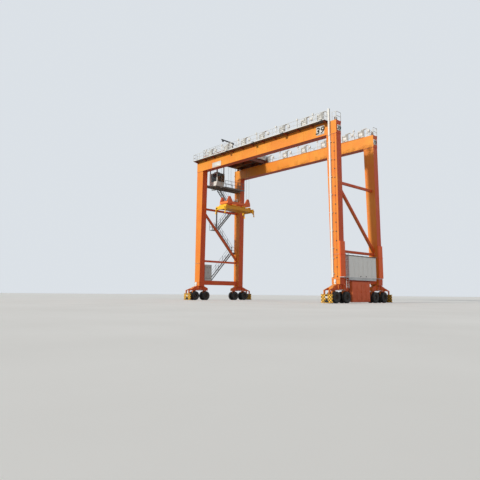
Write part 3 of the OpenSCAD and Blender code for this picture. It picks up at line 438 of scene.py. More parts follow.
def blocks(lows, highs):
    """Many boxes at once, from arrays of their lowest and highest corners."""
    lows, highs = np.atleast_2d(lows).astype(float), np.atleast_2d(highs).astype(float)
    pick = np.array([[(i >> a) & 1 for a in range(3)] for i in range(8)])
    points = np.where(pick[None], highs[:, None], lows[:, None]).reshape(-1, 3)
    quads = np.array([[0, 2, 3, 1], [4, 5, 7, 6], [0, 1, 5, 4], [2, 6, 7, 3], [0, 4, 6, 2], [1, 3, 7, 5]])
    return points, [(quads[None] + 8 * np.arange(len(lows))[:, None, None]).reshape(-1, 4)]


def chamfered(half, low, high, cut=0.015):
    """A plinth of half sizes `half` in X and Y from Z low to high, its corners and top edge cut back by `cut`."""
    w, h = half
    ring = np.array([(w - cut, -h), (w, -h + cut), (w, h - cut), (w - cut, h)])
    ring = np.concatenate([ring, -ring])
    levels = ((ring, low), (ring, high - cut), (ring - np.sign(ring) * cut, high))
    return np.concatenate([np.c_[level, np.full(8, z)] for level, z in levels]), tube_faces(3, 8)


def turned(profile, axis, centre=(0, 0, 0), steps=32):
    """A profile of (radius, distance) that runs up an axis, carried once round it, with flat ends."""
    profile = np.array(profile, float)
    round_it = ring_of(1.0, steps, axis)[:, None]
    points = profile[None, :, :1] * round_it + profile[None, :, 1:] * np.eye(3)[axis] + centre
    ends = np.arange(steps)[None] * len(profile)
    faces = [grid_faces(steps, len(profile), closed_rows=True)[:, ::-1], ends[:, ::-1], ends + len(profile) - 1]
    return points.reshape(-1, 3), faces


def pushed(outline, axis, start, end):
    """A closed outline in the two directions square to an axis, pushed along it from start to end."""
    outline = np.array(outline, float)
    eye = np.eye(3)
    flat = outline[:, :1] * eye[(axis + 1) % 3] + outline[:, 1:2] * eye[(axis + 2) % 3]
    return np.concatenate([flat + start * eye[axis], flat + end * eye[axis]]), tube_faces(2, len(outline))


def tube_along(path, radius, steps=8, closed=False):
    """A round tube along a path: at each point a ring square to the local direction."""
    path = np.array(path, float)
    ahead = np.roll(path, -1, 0) - np.roll(path, 1, 0)
    if not closed:
        ahead[0], ahead[-1] = path[1] - path[0], path[-1] - path[-2]
    ahead /= np.linalg.norm(ahead, axis=1)[:, None]
    # the side direction is carried along the path, so that the tube never twists
    side = np.cross(ahead[0], np.eye(3)[np.argmin(abs(ahead[0]))])
    sides = []
    for direction in ahead:
        side = side - direction * (side @ direction)
        side = side / np.linalg.norm(side)
        sides.append(side)
    sides = np.array(sides)
    up = np.cross(ahead, sides)
    t = np.linspace(0, 2 * np.pi, steps, endpoint=False)
    ring = np.cos(t)[None, :, None] * sides[:, None] + np.sin(t)[None, :, None] * up[:, None]
    faces = [grid_faces(len(path), steps, True, True)] if closed else tube_faces(len(path), steps)
    return (path[:, None] + radius * ring).reshape(-1, 3), faces


def bent(corners, radius, steps=5):
    """A path through corners, each rounded by an arc that leaves the straight parts `radius` before the corner."""
    corners = np.array(corners, float)
    path = [corners[0]]
    for before, corner, after in zip(corners[:-2], corners[1:-1], corners[2:]):
        a = corner + (before - corner) / np.linalg.norm(before - corner) * radius
        b = corner + (after - corner) / np.linalg.norm(after - corner) * radius
        u = np.linspace(0, 1, steps)[:, None]
        path.extend((1 - u) ** 2 * a + 2 * u * (1 - u) * corner + u**2 * b)
    return np.array([*path, corners[-1]])


def joined(*shapes):
    """Several shapes as one, with their faces renumbered."""
    points, faces, base = [], [], 0
    for p, f in shapes:
        points.append(p)
        faces += [x + base for x in f]
        base += len(p)
    return np.concatenate(points), faces


def repeated(shape, offsets):
    """A shape copied to each offset, or moved by a single one."""
    offsets = np.atleast_2d(offsets).astype(float)
    points, faces = shape
    moved = (points[None] + offsets[:, None]).reshape(-1, 3)
    steps = len(points) * np.arange(len(offsets))
    return moved, [(f[None] + steps[:, None, None]).reshape(-1, f.shape[1]) for f in faces]


def mirrored(shape, axis, about=0.0):
    """A shape and its mirror image across a plane square to an axis, both with faces outward."""
    points, faces = shape
    other = points.copy()
    other[:, axis] = 2 * about - other[:, axis]
    return joined(shape, (other, [f[:, ::-1] for f in faces]))


def rows_of(*spans):
    """All points of a grid given as (start, end, count) or a list along X, Y and Z."""
    lines = [np.linspace(*s) if isinstance(s, tuple) else np.array(s, float) for s in spans]
    return np.stack([a.ravel() for a in np.meshgrid(*lines, indexing="ij")], 1)


def hung(shape, centre, facing):
    """A flat shape drawn in X and Y with Z outwards, hung on a wall that looks along -y, +y, -x or +x."""
    points, faces = shape
    out = np.eye(3)["xy".index(facing[1])] * (1 if facing[0] == "+" else -1)
    right = np.cross((0, 0, 1), out)
    return points @ np.array([right, (0, 0, 1), out]) + np.array(centre, float), faces


def put(name, finish, *shapes, on="gantry", smooth=None, bevel=0.0):
    """Puts shapes into one mesh with foreach_set, gives it its finish and makes it ride on a body."""
    points, faces = joined(*shapes)
    mesh = bpy.data.meshes.new(name)
    totals = np.concatenate([np.full(len(f), f.shape[1]) for f in faces]).astype(np.int32)
    corners = np.concatenate([f.ravel() for f in faces]).astype(np.int32)
    mesh.vertices.add(len(points))
    mesh.vertices.foreach_set("co", points.astype(np.float32).ravel())
    mesh.loops.add(len(corners))
    mesh.loops.foreach_set("vertex_index", corners)
    mesh.polygons.add(len(totals))
    mesh.polygons.foreach_set("loop_start", np.concatenate([[0], np.cumsum(totals)[:-1]]).astype(np.int32))
    mesh.polygons.foreach_set("loop_total", totals)
    mesh.update(calc_edges=True)
    mesh.validate()
    mesh.materials.append(FINISHES[finish])
    piece = bpy.data.objects.new(name, mesh)
    bpy.context.scene.collection.objects.link(piece)
    if bevel:
        edge = piece.modifiers.new("edge", "BEVEL")
        edge.width, edge.segments, edge.limit_method = bevel, 2, "ANGLE"
    if smooth:
        mesh.polygons.foreach_set("use_smooth", np.ones(len(totals), bool))
        mesh.set_sharp_from_angle(angle=math.radians(smooth))
    if on:
        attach(piece, on)
    return piece


# Repeated fittings, drawn in X and Y with Z outwards unless an axis is given


def hex_bolts(places, axis, size, sign=1):
    """Bolts along an axis: a six-sided head `size` across, on a flat washer of the same form half as wide again."""
    ring = ring_of(size, 6)
    head, washer = (sorted((0.0, sign * size * height)) for height in (0.65, 0.12))
    return repeated(joined(pushed(ring * 0.577, axis, *head), pushed(ring * 0.85, axis, *washer)), places)


def sign_plate(half_w, half_h, thick=0.012, corner=0.06):
    """A plate with rounded corners, its back at Z 0."""
    t = np.linspace(0, np.pi / 2, 5)
    quarter = np.stack([np.cos(t), np.sin(t)], 1) * corner + [half_w - corner, half_h - corner]
    outline = np.concatenate([quarter, (quarter * [-1, 1])[::-1], -quarter, (quarter * [1, -1])[::-1]])
    return pushed(outline, 2, 0.0, thick)


def louvres(half_w, half_h, count, depth=0.03, rim=0.03):
    """A pressed frame with sloping blades one over the other, each a thin wedge that sheds rain outwards."""
    step = 2 * half_h / count
    blade = [(0.14 * step, 0.9 * depth), (0.02 * step, 0.9 * depth), (0.5 * step, 0.0), (0.62 * step, 0.0)]
    heights = np.linspace(-half_h, half_h - step, count)
    blades = repeated(pushed(blade, 0, -half_w, half_w), [[0, y, 0] for y in heights])
    w, h = half_w - rim, half_h - rim
    lows = [[-half_w, -half_h, 0], [w, -half_h, 0], [-w, -half_h, 0], [-w, h, 0]]
    highs = [[-w, half_h, depth], [half_w, half_h, depth], [w, -h, depth], [w, half_h, depth]]
    return joined(blades, blocks(lows, highs))


def door_furniture(half_w, half_h, handle=0.2):
    """Three barrel hinges on the left edge and a bar handle with its two feet on the right, for one door leaf."""
    hinge = turned([(0.012, -0.05), (0.012, 0.05)], 1, (-half_w, 0, 0.014), 8)
    hinges = repeated(hinge, [[0, y, 0] for y in (-0.8 * half_h, 0, 0.8 * half_h)])
    x = 0.82 * half_w
    bar = bent([(x, -handle / 2, 0), (x, -handle / 2, 0.05), (x, handle / 2, 0.05), (x, handle / 2, 0)], 0.02, 3)
    return joined(hinges, tube_along(bar, 0.011, 6))


def window_frame(half_w, half_h, wide=0.035, thick=0.014):
    """Four gasket strips round a window, outside its half sizes."""
    w, h = half_w + wide, half_h + wide
    lows = [[-w, -h, 0], [-w, half_h, 0], [-w, -half_h, 0], [half_w, -half_h, 0]]
    highs = [[w, -half_h, thick], [w, h, thick], [-half_w, half_h, thick], [w, half_h, thick]]
    return blocks(lows, highs)


def floodlight(tilt):
    """A lamp that looks down, as two shapes hanging from Z 0: its tapered housing with the yoke, and its lens."""
    turn = np.array([[1, 0, 0], [0, math.cos(tilt), math.sin(tilt)], [0, -math.sin(tilt), math.cos(tilt)]])
    head = joined(chamfered((0.12, 0.07), 0.0, 0.05), chamfered((0.2, 0.15), -0.11, 0.0, 0.02))
    lens, lens_faces = chamfered((0.18, 0.13), -0.016, 0.0, 0.006)
    lens = lens * [1, -1, -1] - [0, 0, 0.11]
    yoke = bent([(-0.22, 0, -0.2), (-0.22, 0, -0.012), (0.22, 0, -0.012), (0.22, 0, -0.2)], 0.03, 3)
    hang = [0, 0, -0.2]
    return joined((head[0] @ turn + hang, head[1]), tube_along(yoke, 0.012, 6)), (lens @ turn + hang, lens_faces)


def put_lamps(name, spots, tilt, *arms, size=1.0, on="gantry"):
    """Puts a floodlight with its arms at each spot: one piece of housings and one of lenses."""
    housing, lens = ((points * size, faces) for points, faces in floodlight(tilt))
    put(f"{name}_lamps", "dark", repeated(joined(housing, *arms), spots), on=on)
    put(f"{name}_lamp_lenses", "lens", repeated(lens, spots), on=on)


# Operators


def sizes():
    """The panel's sizes and colours."""
    return bpy.context.scene.crane_look


class CraneLook(bpy.types.PropertyGroup):
    """Sizes and colours a user may change."""

    # the first colour is the paint as painted shade, the second the paint as painted sunlight with sun bleaching
    paint: StringProperty(
        name="Paint", description="Paint where the sun doesn't reach, as sRGB hex", default="#DE5219"
    )
    paint_sunlit_and_bleached: StringProperty(
        name="Faded paint", description="Paint on the sunny sides, as sRGB hex", default="#EC952C"
    )
    band_pitch: FloatProperty(
        name="Band pitch", description="Pitch of the bumpers' crossed bands",
        default=0.255, min=0.05, max=0.6, unit="LENGTH",
    )
    lugs: IntProperty(name="Tread lugs", description="Lugs round one tyre", default=30, min=12, max=48)
    groove: FloatProperty(
        name="Tread depth", description="Depth of the tread grooves",
        default=0.028, min=0.005, max=0.04, unit="LENGTH",
    )
    bolt: FloatProperty(
        name="Bolt size", description="Width of a flange bolt's head",
        default=0.046, min=0.02, max=0.06, unit="LENGTH",
    )
    rope_lay: FloatProperty(
        name="Rope lay", description="Length of one turn of a rope's strands",
        default=0.18, min=0.1, max=0.4, unit="LENGTH",
    )
    crane_number: StringProperty(name="Number", description="Number on the sign plates", default="39")
    sun_angle: FloatProperty(
        name="Lamp size", description="Apparent size of the key lamp", default=math.radians(4), subtype="ANGLE"
    )
    sun_power: FloatProperty(name="Lamp power", description="Strength of the key lamp", default=2.75, min=0.5, max=6)
    sky_power: FloatProperty(name="Sky power", description="Strength of the soft light", default=0.4, min=0.05, max=1)
    fill_power: FloatProperty(name="Fill power", description="Strength of the fill lamp", default=0.28, min=0, max=2)
    floor_colour: StringProperty(name="Floor", description="Colour of the floor, as sRGB hex", default="#FBFAF7")


class CRANE_OT_finishes(bpy.types.Operator):
    """Give every visible steel part its paint, zinc, rubber or glass"""

    bl_idname = "crane.finishes"
    bl_label = "Finishes"

    def execute(self, context):
        make_finishes(sizes())
        for name, node in NODES.items():
            node.data.materials.clear()
            node.data.materials.append(FINISHES[CAD_FINISHES.get(name, "orange")])
        return {"FINISHED"}


def tyre_surface(centre, x_inner, x_outer, bead, lugs, depth):
    """The tyre on an axle's +X side as radius and offset over angle t and a parameter s across the section.

    The crown falls 12 mm from its middle to the shoulders, as the square of s, and the walls bulge as a sine. The
    radius drops by `depth` in a groove: where the fraction of (lugs t / 2 pi + |s| / 2, and half a lug more on the
    outer side) is under 0.34.
    """
    edge, fall = 0.6, 0.012
    s = np.concatenate([np.linspace(-1, -0.65, 7), np.linspace(-edge, edge, 13), np.linspace(0.65, 1, 7)])
    steps = lugs * 6
    t = np.arange(steps) * 2 * np.pi / steps
    wall = np.clip((np.abs(s) - edge) / (1 - edge), 0, 1)
    half = (x_outer - x_inner) / 2
    flank = half * (0.9 + 0.1 * np.sin(wall * np.pi) - 0.12 * np.clip(wall - 0.7, 0, 1) / 0.3)
    offset = np.sign(s) * np.where(wall > 0, flank, half * 0.9 * np.abs(s) / edge)
    shoulder = centre[2] - fall
    base = np.where(wall > 0, shoulder - (shoulder - bead) * wall**0.85, centre[2] - fall * (s / edge) ** 2)
    share = (t[:, None] / (2 * np.pi) * lugs + 0.5 * (s > 0) + 0.5 * np.abs(s)) % 1.0
    groove = (share < 0.34) & (np.abs(s) > 0.09) & (np.abs(s) < 0.74)
    radius = base - depth * groove * np.where(np.abs(s) > edge, 0.7, 1.0)
    x = np.broadcast_to(centre[0] + (x_inner + x_outer) / 2 + offset, radius.shape)
    y = centre[1] + radius * np.cos(t)[:, None]
    z = centre[2] + radius * np.sin(t)[:, None]
    return np.stack([x, y, z], 2).reshape(-1, 3), [grid_faces(steps, len(s), True, True)[:, ::-1]]


def disc_wheel(centre, start, end):
    """The wheel on an axle's +X side: rim gutters, a dished disc, the hub with its cap, ten nuts and a valve."""
    profile = [
        (0.17, start + 0.005), (0.2, start + 0.09), (0.26, start + 0.1), (0.285, start + 0.03),
        (0.318, start + 0.012), (0.325, start + 0.03), (0.312, start + 0.045), (0.305, start + 0.06),
        (0.305, end - 0.06), (0.312, end - 0.045), (0.325, end - 0.03), (0.318, end - 0.012), (0.285, end - 0.03),
        (0.27, end - 0.09), (0.25, end - 0.17), (0.235, end - 0.205), (0.16, end - 0.2), (0.155, end - 0.16),
        (0.115, end - 0.155), (0.1, end - 0.14),
    ]  # fmt: skip
    nuts = hex_bolts(ring_of(0.2, 10, 0, (end - 0.205, 0, 0)), 0, 0.036)
    valve = tube_along([(end - 0.16, 0.262, 0), (end - 0.05, 0.28, 0), (end - 0.03, 0.25, 0)], 0.007, 6)
    return repeated(joined(turned(profile, 0, steps=40), nuts, valve), centre)


class CRANE_OT_wheels(bpy.types.Operator):
    """Build the lugged tyres and dished wheels on all eight axles"""

    bl_idname = "crane.wheels"
    bl_label = "Tyres and wheels"

    def execute(self, context):
        look = sizes()
        half = [(0.075, -0.2), (0.075, -0.15), (0.088, -0.14), (0.088, -0.09)]
        half += [(0.07, -0.075), (0.07, -0.03), (0.1, -0.02)]
        axle = turned([*half, *((r, -h) for r, h in half[::-1])], 0)
        for body in (b for b in frame["bodies"] if b.startswith("wheels_")):
            low, high = box_of(body)
            centre = (low + high) / 2
            outer = (high[0] - low[0]) / 2
            inner = outer - TYRE_WIDTH
            tyre = mirrored(tyre_surface(centre, inner, outer, BEAD, look.lugs, look.groove), 0, centre[0])
            tyres = put(body.replace("wheels", "tyres"), "rubber", tyre, on=body, smooth=35)
            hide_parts(body)
            wheel = mirrored(disc_wheel(centre, inner, outer), 0, centre[0])
            put(body.replace("wheels", "rims"), "rim", wheel, on=body, smooth=35)
            put(body.replace("wheels", "axle"), "steel", repeated(axle, centre), on=body, smooth=35)
        return {"FINISHED"}


class CRANE_OT_ropes(bpy.types.Operator):
    """Lay the eight falls of hoist rope and the drums' layers"""

    bl_idname = "crane.ropes"
    bl_label = "Hoist ropes"

    def execute(self, context):
        low, high = box_of("hoist_ropes")
        radius, gap = 0.014, 0.5484
        xs = [low[0] + radius, high[0] - radius]
        ys = [low[1] + radius, low[1] + gap + radius, high[1] - gap - radius, high[1] - radius]
        # the section has six strands and turns once every lay
        lay, steps = sizes().rope_lay, 18
        rings = int((high[2] - low[2]) / lay * 6)
        z = np.linspace(low[2], high[2], rings)[:, None]
        t = np.linspace(0, 2 * np.pi, steps, endpoint=False)
        angle = t + 2 * np.pi * z / lay
        r = radius * (0.88 + 0.12 * np.cos(6 * t))
        points = np.stack([r * np.cos(angle), r * np.sin(angle), np.broadcast_to(z, angle.shape)], 2)
        falls = repeated((points.reshape(-1, 3), tube_faces(rings, steps)), [[x, y, 0] for x in xs for y in ys])
        ropes = put("hoist_rope_falls", "rope", falls, on=None, smooth=60)
        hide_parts("hoist_ropes")
        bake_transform(ropes)
        # rope lies in turns 32 mm apart on both drums: a half circle bulges out at each turn
        drum_r, half = 0.43, 0.71
        h = np.linspace(-half, half, 44 * 6 + 1)
        lobes = drum_r + 0.016 * np.abs(np.sin(np.pi * (h + half) / 0.0323)) ** 0.6
        profile = [(drum_r - 0.004, -0.712), *zip(lobes, h), (drum_r - 0.004, 0.712)]
        drums = [[TROLLEY_X + s * 1.35, DRUM_Y, DRUM_Z] for s in SIDES]
        put("drum_rope_layers", "rope", repeated(turned(profile, 0, steps=40), drums), on="trolley", smooth=50)
        return {"FINISHED"}


def number_mesh(text, height):
    """A number as slanted raised figures in X and Y, with its middle at the origin."""
    curve = bpy.data.curves.new("figures", "FONT")
    curve.body, curve.size, curve.shear = text, height / 0.7, 0.2
    curve.extrude, curve.offset = 0.004, height * 0.025
    holder = bpy.data.objects.new("figures", curve)
    bpy.context.scene.collection.objects.link(holder)
    bpy.context.view_layer.update()
    mesh = bpy.data.meshes.new_from_object(holder)
    bpy.data.objects.remove(holder)
    points = np.zeros(len(mesh.vertices) * 3, np.float32)
    mesh.vertices.foreach_get("co", points)
    # sides and faces come apart from the font, so corners at one place become one
    points, merged = np.unique(points.reshape(-1, 3).astype(float).round(5), axis=0, return_inverse=True)
    points[:, :2] -= (points[:, :2].min(0) + points[:, :2].max(0)) / 2
    points[:, 0] *= 1.22
    faces = {}
    for polygon in mesh.polygons:
        faces.setdefault(len(polygon.vertices), []).append(list(polygon.vertices))
    bpy.data.meshes.remove(mesh)
    return points, [merged.ravel()[np.array(f)] for f in faces.values()]


class CRANE_OT_signs(bpy.types.Operator):
    """Fix the number plates and the bare plate to the girders"""

    bl_idname = "crane.signs"
    bl_label = "Sign plates"

    def execute(self, context):
        wide = [((11.405, -OUTER_Y, 21.45), "-y"), ((-11.405, OUTER_Y, 21.45), "+y")]
        narrow = [((s * (OUT + 0.03), y, 21.33), facing) for y in (-4.07, 4.07) for s, facing in X_SIDES]
        plates, figures, screws = [], [], []
        for places, half_w, half_h, tall in ((wide, 0.625, 0.58, 0.82), (narrow, 0.37, 0.37, 0.5)):
            digits = repeated(number_mesh(sizes().crane_number, tall), [0, 0, 0.014])
            corners = rows_of([0.05 - half_w, half_w - 0.05], [0.05 - half_h, half_h - 0.05], [0.012])
            for place, facing in places:
                plates.append(hung(sign_plate(half_w, half_h), place, facing))
                figures.append(hung(digits, place, facing))
                screws.append(hung(hex_bolts(corners, 2, 0.02), place, facing))
        bare = (-8.92, -OUTER_Y, 21.03)
        plates.append(hung(sign_plate(1.06, 0.43, corner=0.03), bare, "-y"))
        screws.append(hung(hex_bolts(rows_of((-1.0, 1.0, 4), [-0.38, 0.38], [0.012]), 2, 0.02), bare, "-y"))
        put("sign_plates", "white", *plates)
        put("sign_figures", "ink", *figures)
        put("sign_screws", "steel", *screws)
        return {"FINISHED"}


class CRANE_OT_steelwork(bpy.types.Operator):
    """Bolt the flanges and ties, weld the girder plates, clip the rails and fit boxes and cables to the legs"""

    bl_idname = "crane.steelwork"
    bl_label = "Bolts, seams and rail clips"

    def execute(self, context):
        # bolts of the legs' joints, the girders' seats and the outer lip of the foot flanges
        size, lip = sizes().bolt, [INNER_Y - 0.03, OUTER_Y + 0.03]
        bolts = []
        for wide, count, ys, z, sign in (
            (1.18, 9, lip, LEG_JOINT, -1),
            (1.18, 9, lip, LEG_JOINT + FLANGE, 1),
            (1.51, 9, lip, GIRDER_LOW - FLANGE, -1),
            (1.18, 7, lip[1:], LEG_FOOT + FLANGE, 1),
        ):
            places = rows_of((OUT - wide + 0.08, OUT - 0.08, count), ys, [z])
            bolts += [hex_bolts(places * [sx, sy, 1], 2, size, sign) for sx in SIDES for sy in SIDES]
        put("flange_bolts", "zinc", *bolts)
        # end plates of the ties, and of the sills, with a row of bolts down both edges
        bolts = []
        for z, half_x, half_z, count in ((6.15, 0.185, 0.1, 3), (14.6, 0.185, 0.1, 3), (SILL_Z, 0.28, 0.29, 4)):
            edges = [LINE - half_x, LINE + half_x, -LINE - half_x, -LINE + half_x]
            places = rows_of(edges, [INNER_Y - 0.04], (z - half_z, z + half_z, count))
            bolts.append(mirrored(hex_bolts(places, 1, 0.034, -1), 1))
        put("tie_bolts", "zinc", *bolts)
        # upright welds where web plates meet, one every 2.9 m on both webs of both girders
        section = [(-0.012, 0), (0.012, 0), (0.006, 0.007), (-0.006, 0.007)]
        bead = pushed(section, 2, GIRDER_LOW + FLANGE, GIRDER_TOP - FLANGE)
        beads = repeated(bead, rows_of((-8.7, 8.7, 7), [OUTER_Y], [0]))
        put("weld_beads", "orange", mirrored(mirrored(beads, 1, ROW), 1))
        # rail clips every 0.65 m on both sides of both rails: a sloping plate and its bolt
        clip = pushed([(0.045, 0.0), (0.11, 0.0), (0.11, 0.02), (0.075, 0.045), (0.045, 0.04)], 0, -0.035, 0.035)
        clip = joined(clip, hex_bolts([[0, 0.085, 0.034]], 2, 0.03))
        clips = repeated(clip, rows_of((-13.2, 13.2, 41), [ROW], [GIRDER_TOP]))
        put("rail_clips", "steel", mirrored(mirrored(clips, 1, ROW), 1))
        # white junction boxes at the feet of the legs
        cases, trims = [], []
        for x, half in ((13.175, 0.125), (-13.42, 0.23)):
            cases.append(hung(chamfered((half, 0.36), 0.0, 0.15, 0.012), (x, -OUTER_Y, 2.4), "-y"))
            trims.append(hung(door_furniture(half, 0.36, 0.1), (x, -OUTER_Y - 0.15, 2.4), "-y"))
        put("foot_boxes", "white", *cases)
        put("foot_box_trims", "gasket", *trims)
        # cables up the front right leg, passing the joint, under straps every 1.1 m
        cables = []
        for x, radius in ((13.44, 0.014), (13.48, 0.02), (13.52, 0.014)):
            for low, high in ((2.85, 5.64), (5.8, GIRDER_LOW - 0.08)):
                y = -OUTER_Y - radius - 0.004
                cables.append(tube_along([(x, y, low), (x, y, high)], radius))
        strap = hung(chamfered((0.06, 0.07), 0.0, 0.06, 0.006), (13.48, -OUTER_Y, 0), "-y")
        heights = [*np.arange(3.1, 5.6, 1.1), *np.arange(6.2, 20.4, 1.1)]
        put("leg_cables", "orange", *cables, smooth=40)
        put("leg_cable_straps", "dark", repeated(strap, [[0, 0, z] for z in heights]))
        # brackets that hold the conduit to the leg, above and below the joint
        grip = blocks([12.66, -OUTER_Y - 0.215, 0], [12.785, -OUTER_Y, 0.05])
        grips = repeated(grip, [[0, 0, z] for z in (3.4, 5.2, 6.4, *np.arange(8.5, 20, 2.2))])
        put("conduit_grips", "white", mirrored(grips, 0, 12.9))
        return {"FINISHED"}


class CRANE_OT_bogies(bpy.types.Operator):
    """Fit pin covers, ribs and steering cylinders to the bogies, and targets to the bumpers"""

    bl_idname = "crane.bogies"
    bl_label = "Bogie fittings"

    def execute(self, context):
        covers, bolts, ribs = [], [], []
        # equaliser pin on both sides of each beam: a boss with six bolts, and upright stiffeners beside it
        boss = turned([(0.19, 0.0), (0.19, 0.03), (0.15, 0.045), (0.15, 0.075), (0.13, 0.085)], 2, steps=28)
        boss_bolts = hex_bolts(ring_of(0.17, 6, 2, (0, 0, 0.03)), 2, 0.028)
        stiffeners = repeated(blocks([-0.012, -0.43, 0], [0.012, 0.18, 0.1]), [[-0.5, 0, 0], [0.5, 0, 0]])
        for s, facing in X_SIDES:
            spots = [[x + s * 0.28, y, PIN_Z] for x, y in LEGS]
            for group, shape in ((covers, boss), (bolts, boss_bolts), (ribs, stiffeners)):
                group.append(repeated(hung(shape, (0, 0, 0), facing), spots))
        # round covers with eight bolts on the beams' sloping tops
        lid = turned([(0.15, 0.0), (0.15, 0.02), (0.11, 0.03)], 2, steps=24)
        lid_bolts = hex_bolts(ring_of(0.13, 8, 2, (0, 0, 0.02)), 2, 0.022)
        for s in SIDES:
            tilt = np.array([[1, 0, 0], [0, 1, -s * 0.39 / 0.96], [0, 0, 1]])
            spots = [[x, y + s * 1.05, 2.035] for x, y in LEGS]
            covers.append(repeated((lid[0] @ tilt, lid[1]), spots))
            bolts.append(repeated((lid_bolts[0] @ tilt, lid_bolts[1]), spots))
        put("bogie_covers", "orange", *covers, smooth=40)
        put("bogie_cover_bolts", "zinc", *bolts)
        put("bogie_ribs", "orange", *ribs, bevel=0.003)
        # bumper targets: a light between two dark plates, and a rubber skirt under them
        arch = np.linspace(0, np.pi, 13)
        outline = [*zip(-0.3 * np.cos(arch), 0.2 * np.sin(arch) ** 0.7 - 0.49), (0.3, -0.57), (-0.3, -0.57)]
        plates = repeated(sign_plate(0.12, 0.07, 0.02, 0.02), [[0, 0.2, 0], [0, -0.2, 0]])
        dark = joined(plates, pushed(outline[::-1], 2, 0.0, 0.029))
        light = sign_plate(0.17, 0.12, 0.026, 0.04)
        face = box_of("bumpers")[1][1] - 0.03
        spots = [((x, s * face, 0.68), facing) for s, facing in Y_SIDES for x in (-LINE, LINE)]
        put("bumper_targets", "white", *(hung(light, *spot) for spot in spots))
        put("bumper_skirts", "gasket", *(hung(dark, *spot) for spot in spots))
        # steering cylinders on both sides of each beam, under its pin: barrel, rods, eyes and brackets
        profile = [(0.018, -0.8), (0.018, -0.42), (0.045, -0.42), (0.045, 0.42), (0.018, 0.42), (0.018, 0.8)]
        eyes = repeated(turned([(0.045, -0.02), (0.045, 0.02)], 2, steps=16), [[0, -0.82, 0], [0, 0.82, 0]])
        arms = blocks([[-0.05, -0.88, -0.015], [-0.05, 0.76, -0.015]], [[0.0, -0.76, 0.015], [0.0, 0.88, 0.015]])
        cylinder = joined(turned(profile, 1, steps=16), eyes)
        cylinders, brackets = (
            repeated(mirrored(repeated(shape, [0.33, 0, 0]), 0), [[x, y, 1.54] for x, y in LEGS])
            for shape in (cylinder, arms)
        )
        put("steering_cylinders", "zinc", cylinders, smooth=40)
        put("steering_brackets", "orange", brackets)
        return {"FINISHED"}


class CRANE_OT_power_side(bpy.types.Operator):
    """Fit handles, hinges, louvres and seams to the electrical house, the generator and the sill cabinet"""

    bl_idname = "crane.power_side"
    bl_label = "Power side fittings"

    def execute(self, context):
        # the house: six leaves outside, vents on its other sides
        leaves = (np.arange(6) - 2.5) * 5.9 / 6
        doors, back = 13.97, 12.335
        metal = [hung(door_furniture(0.354, 1.1), (doors, y, 4.34), "+x") for y in leaves]
        vents = [hung(louvres(0.24, 0.3, 10), (back, y, 4.9), "-x") for y in leaves]
        for s, facing in Y_SIDES:
            for z, half_h, count in ((4.8, 0.3, 9), (3.5, 0.2, 6)):
                vents.append(hung(louvres(0.32, half_h, count), (POWER_X, s * 2.975, z), facing))
        # standing seams over the shallow roof, and the gutter along its outer edge
        seam = [(5.69, 12.32), (5.725, 12.32), (5.776, 13.15), (5.725, 13.98), (5.69, 13.98), (5.735, 13.15)]
        seams = [pushed(seam, 1, y - 0.012, y + 0.012) for y in np.linspace(-2.95, 2.95, 7)]
        gutter = [(5.615, 14.0), (5.615, 14.03), (5.68, 14.035), (5.68, 14.045), (5.6, 14.04), (5.6, 14.0)]
        seams.append(pushed(gutter, 1, -2.98, 2.98))
        put("house_furniture", "house", *metal, smooth=40)
        put("house_louvres", "cabinet", *vents)
        put("house_roof_seams", "house", *seams)
        # the generator: four leaves on each long side, vents inside, and grilles over both ends
        metal = [
            hung(door_furniture(0.42, 0.98, 0.16), (POWER_X + s * 0.77, GENERATOR_Y + dy, 1.325), facing)
            for s, facing in X_SIDES
            for dy in (-1.44, -0.48, 0.48, 1.44)
        ]
        vents = [hung(louvres(0.27, 0.42, 12), (POWER_X - 0.77, GENERATOR_Y + s * 0.48, 1.62), "-x") for s in SIDES]
        for s, facing in Y_SIDES:
            vents.append(hung(louvres(0.5, 0.72, 18), (POWER_X, GENERATOR_Y + s * 1.94, 1.27), facing))
        put("generator_furniture", "generator", *metal, smooth=40)
        put("generator_louvres", "generator", *vents)
        # exhaust: a silencer drum on the rear end, and its pipe that turns up beside the sill
        drum = turned([(0.1, -0.36), (0.14, -0.33), (0.14, 0.33), (0.1, 0.36)], 0, (13.0, 1.84, 2.2), 28)
        pipe = tube_along(bent([(13.3, 1.84, 2.2), (13.62, 1.84, 2.2), (13.62, 1.84, 2.95)], 0.12), 0.045, 12)
        feet = blocks([[12.74, 1.66, 2.02], [13.22, 1.66, 2.02]], [[12.78, 1.86, 2.12], [13.26, 1.86, 2.12]])
        put("exhaust_silencer", "rust_red", drum, pipe, feet, smooth=40)
        # two dark latch plates low on the house's doors
        marks = [hung(sign_plate(0.09, 0.05, 0.004, 0.01), (doors, y, 3.2), "+x") for y in (-0.54, 0.65)]
        put("skirt_marks", "ink", *marks)
        # the sill cabinet: two leaves with vents on each long side
        metal, vents = [], []
        for s, facing in X_SIDES:
            for y in (-2.94, -2.26):
                x = -LINE + s * 0.25
                metal.append(hung(door_furniture(0.32, 1.15, 0.16), (x, y, 4.33), facing))
                vents += [hung(louvres(0.19, 0.1, 4), (x, y, z), facing) for z in (3.45, 5.2)]
        put("cabinet_furniture", "steel", *metal, smooth=40)
        put("cabinet_louvres", "cabinet", *vents)
        return {"FINISHED"}


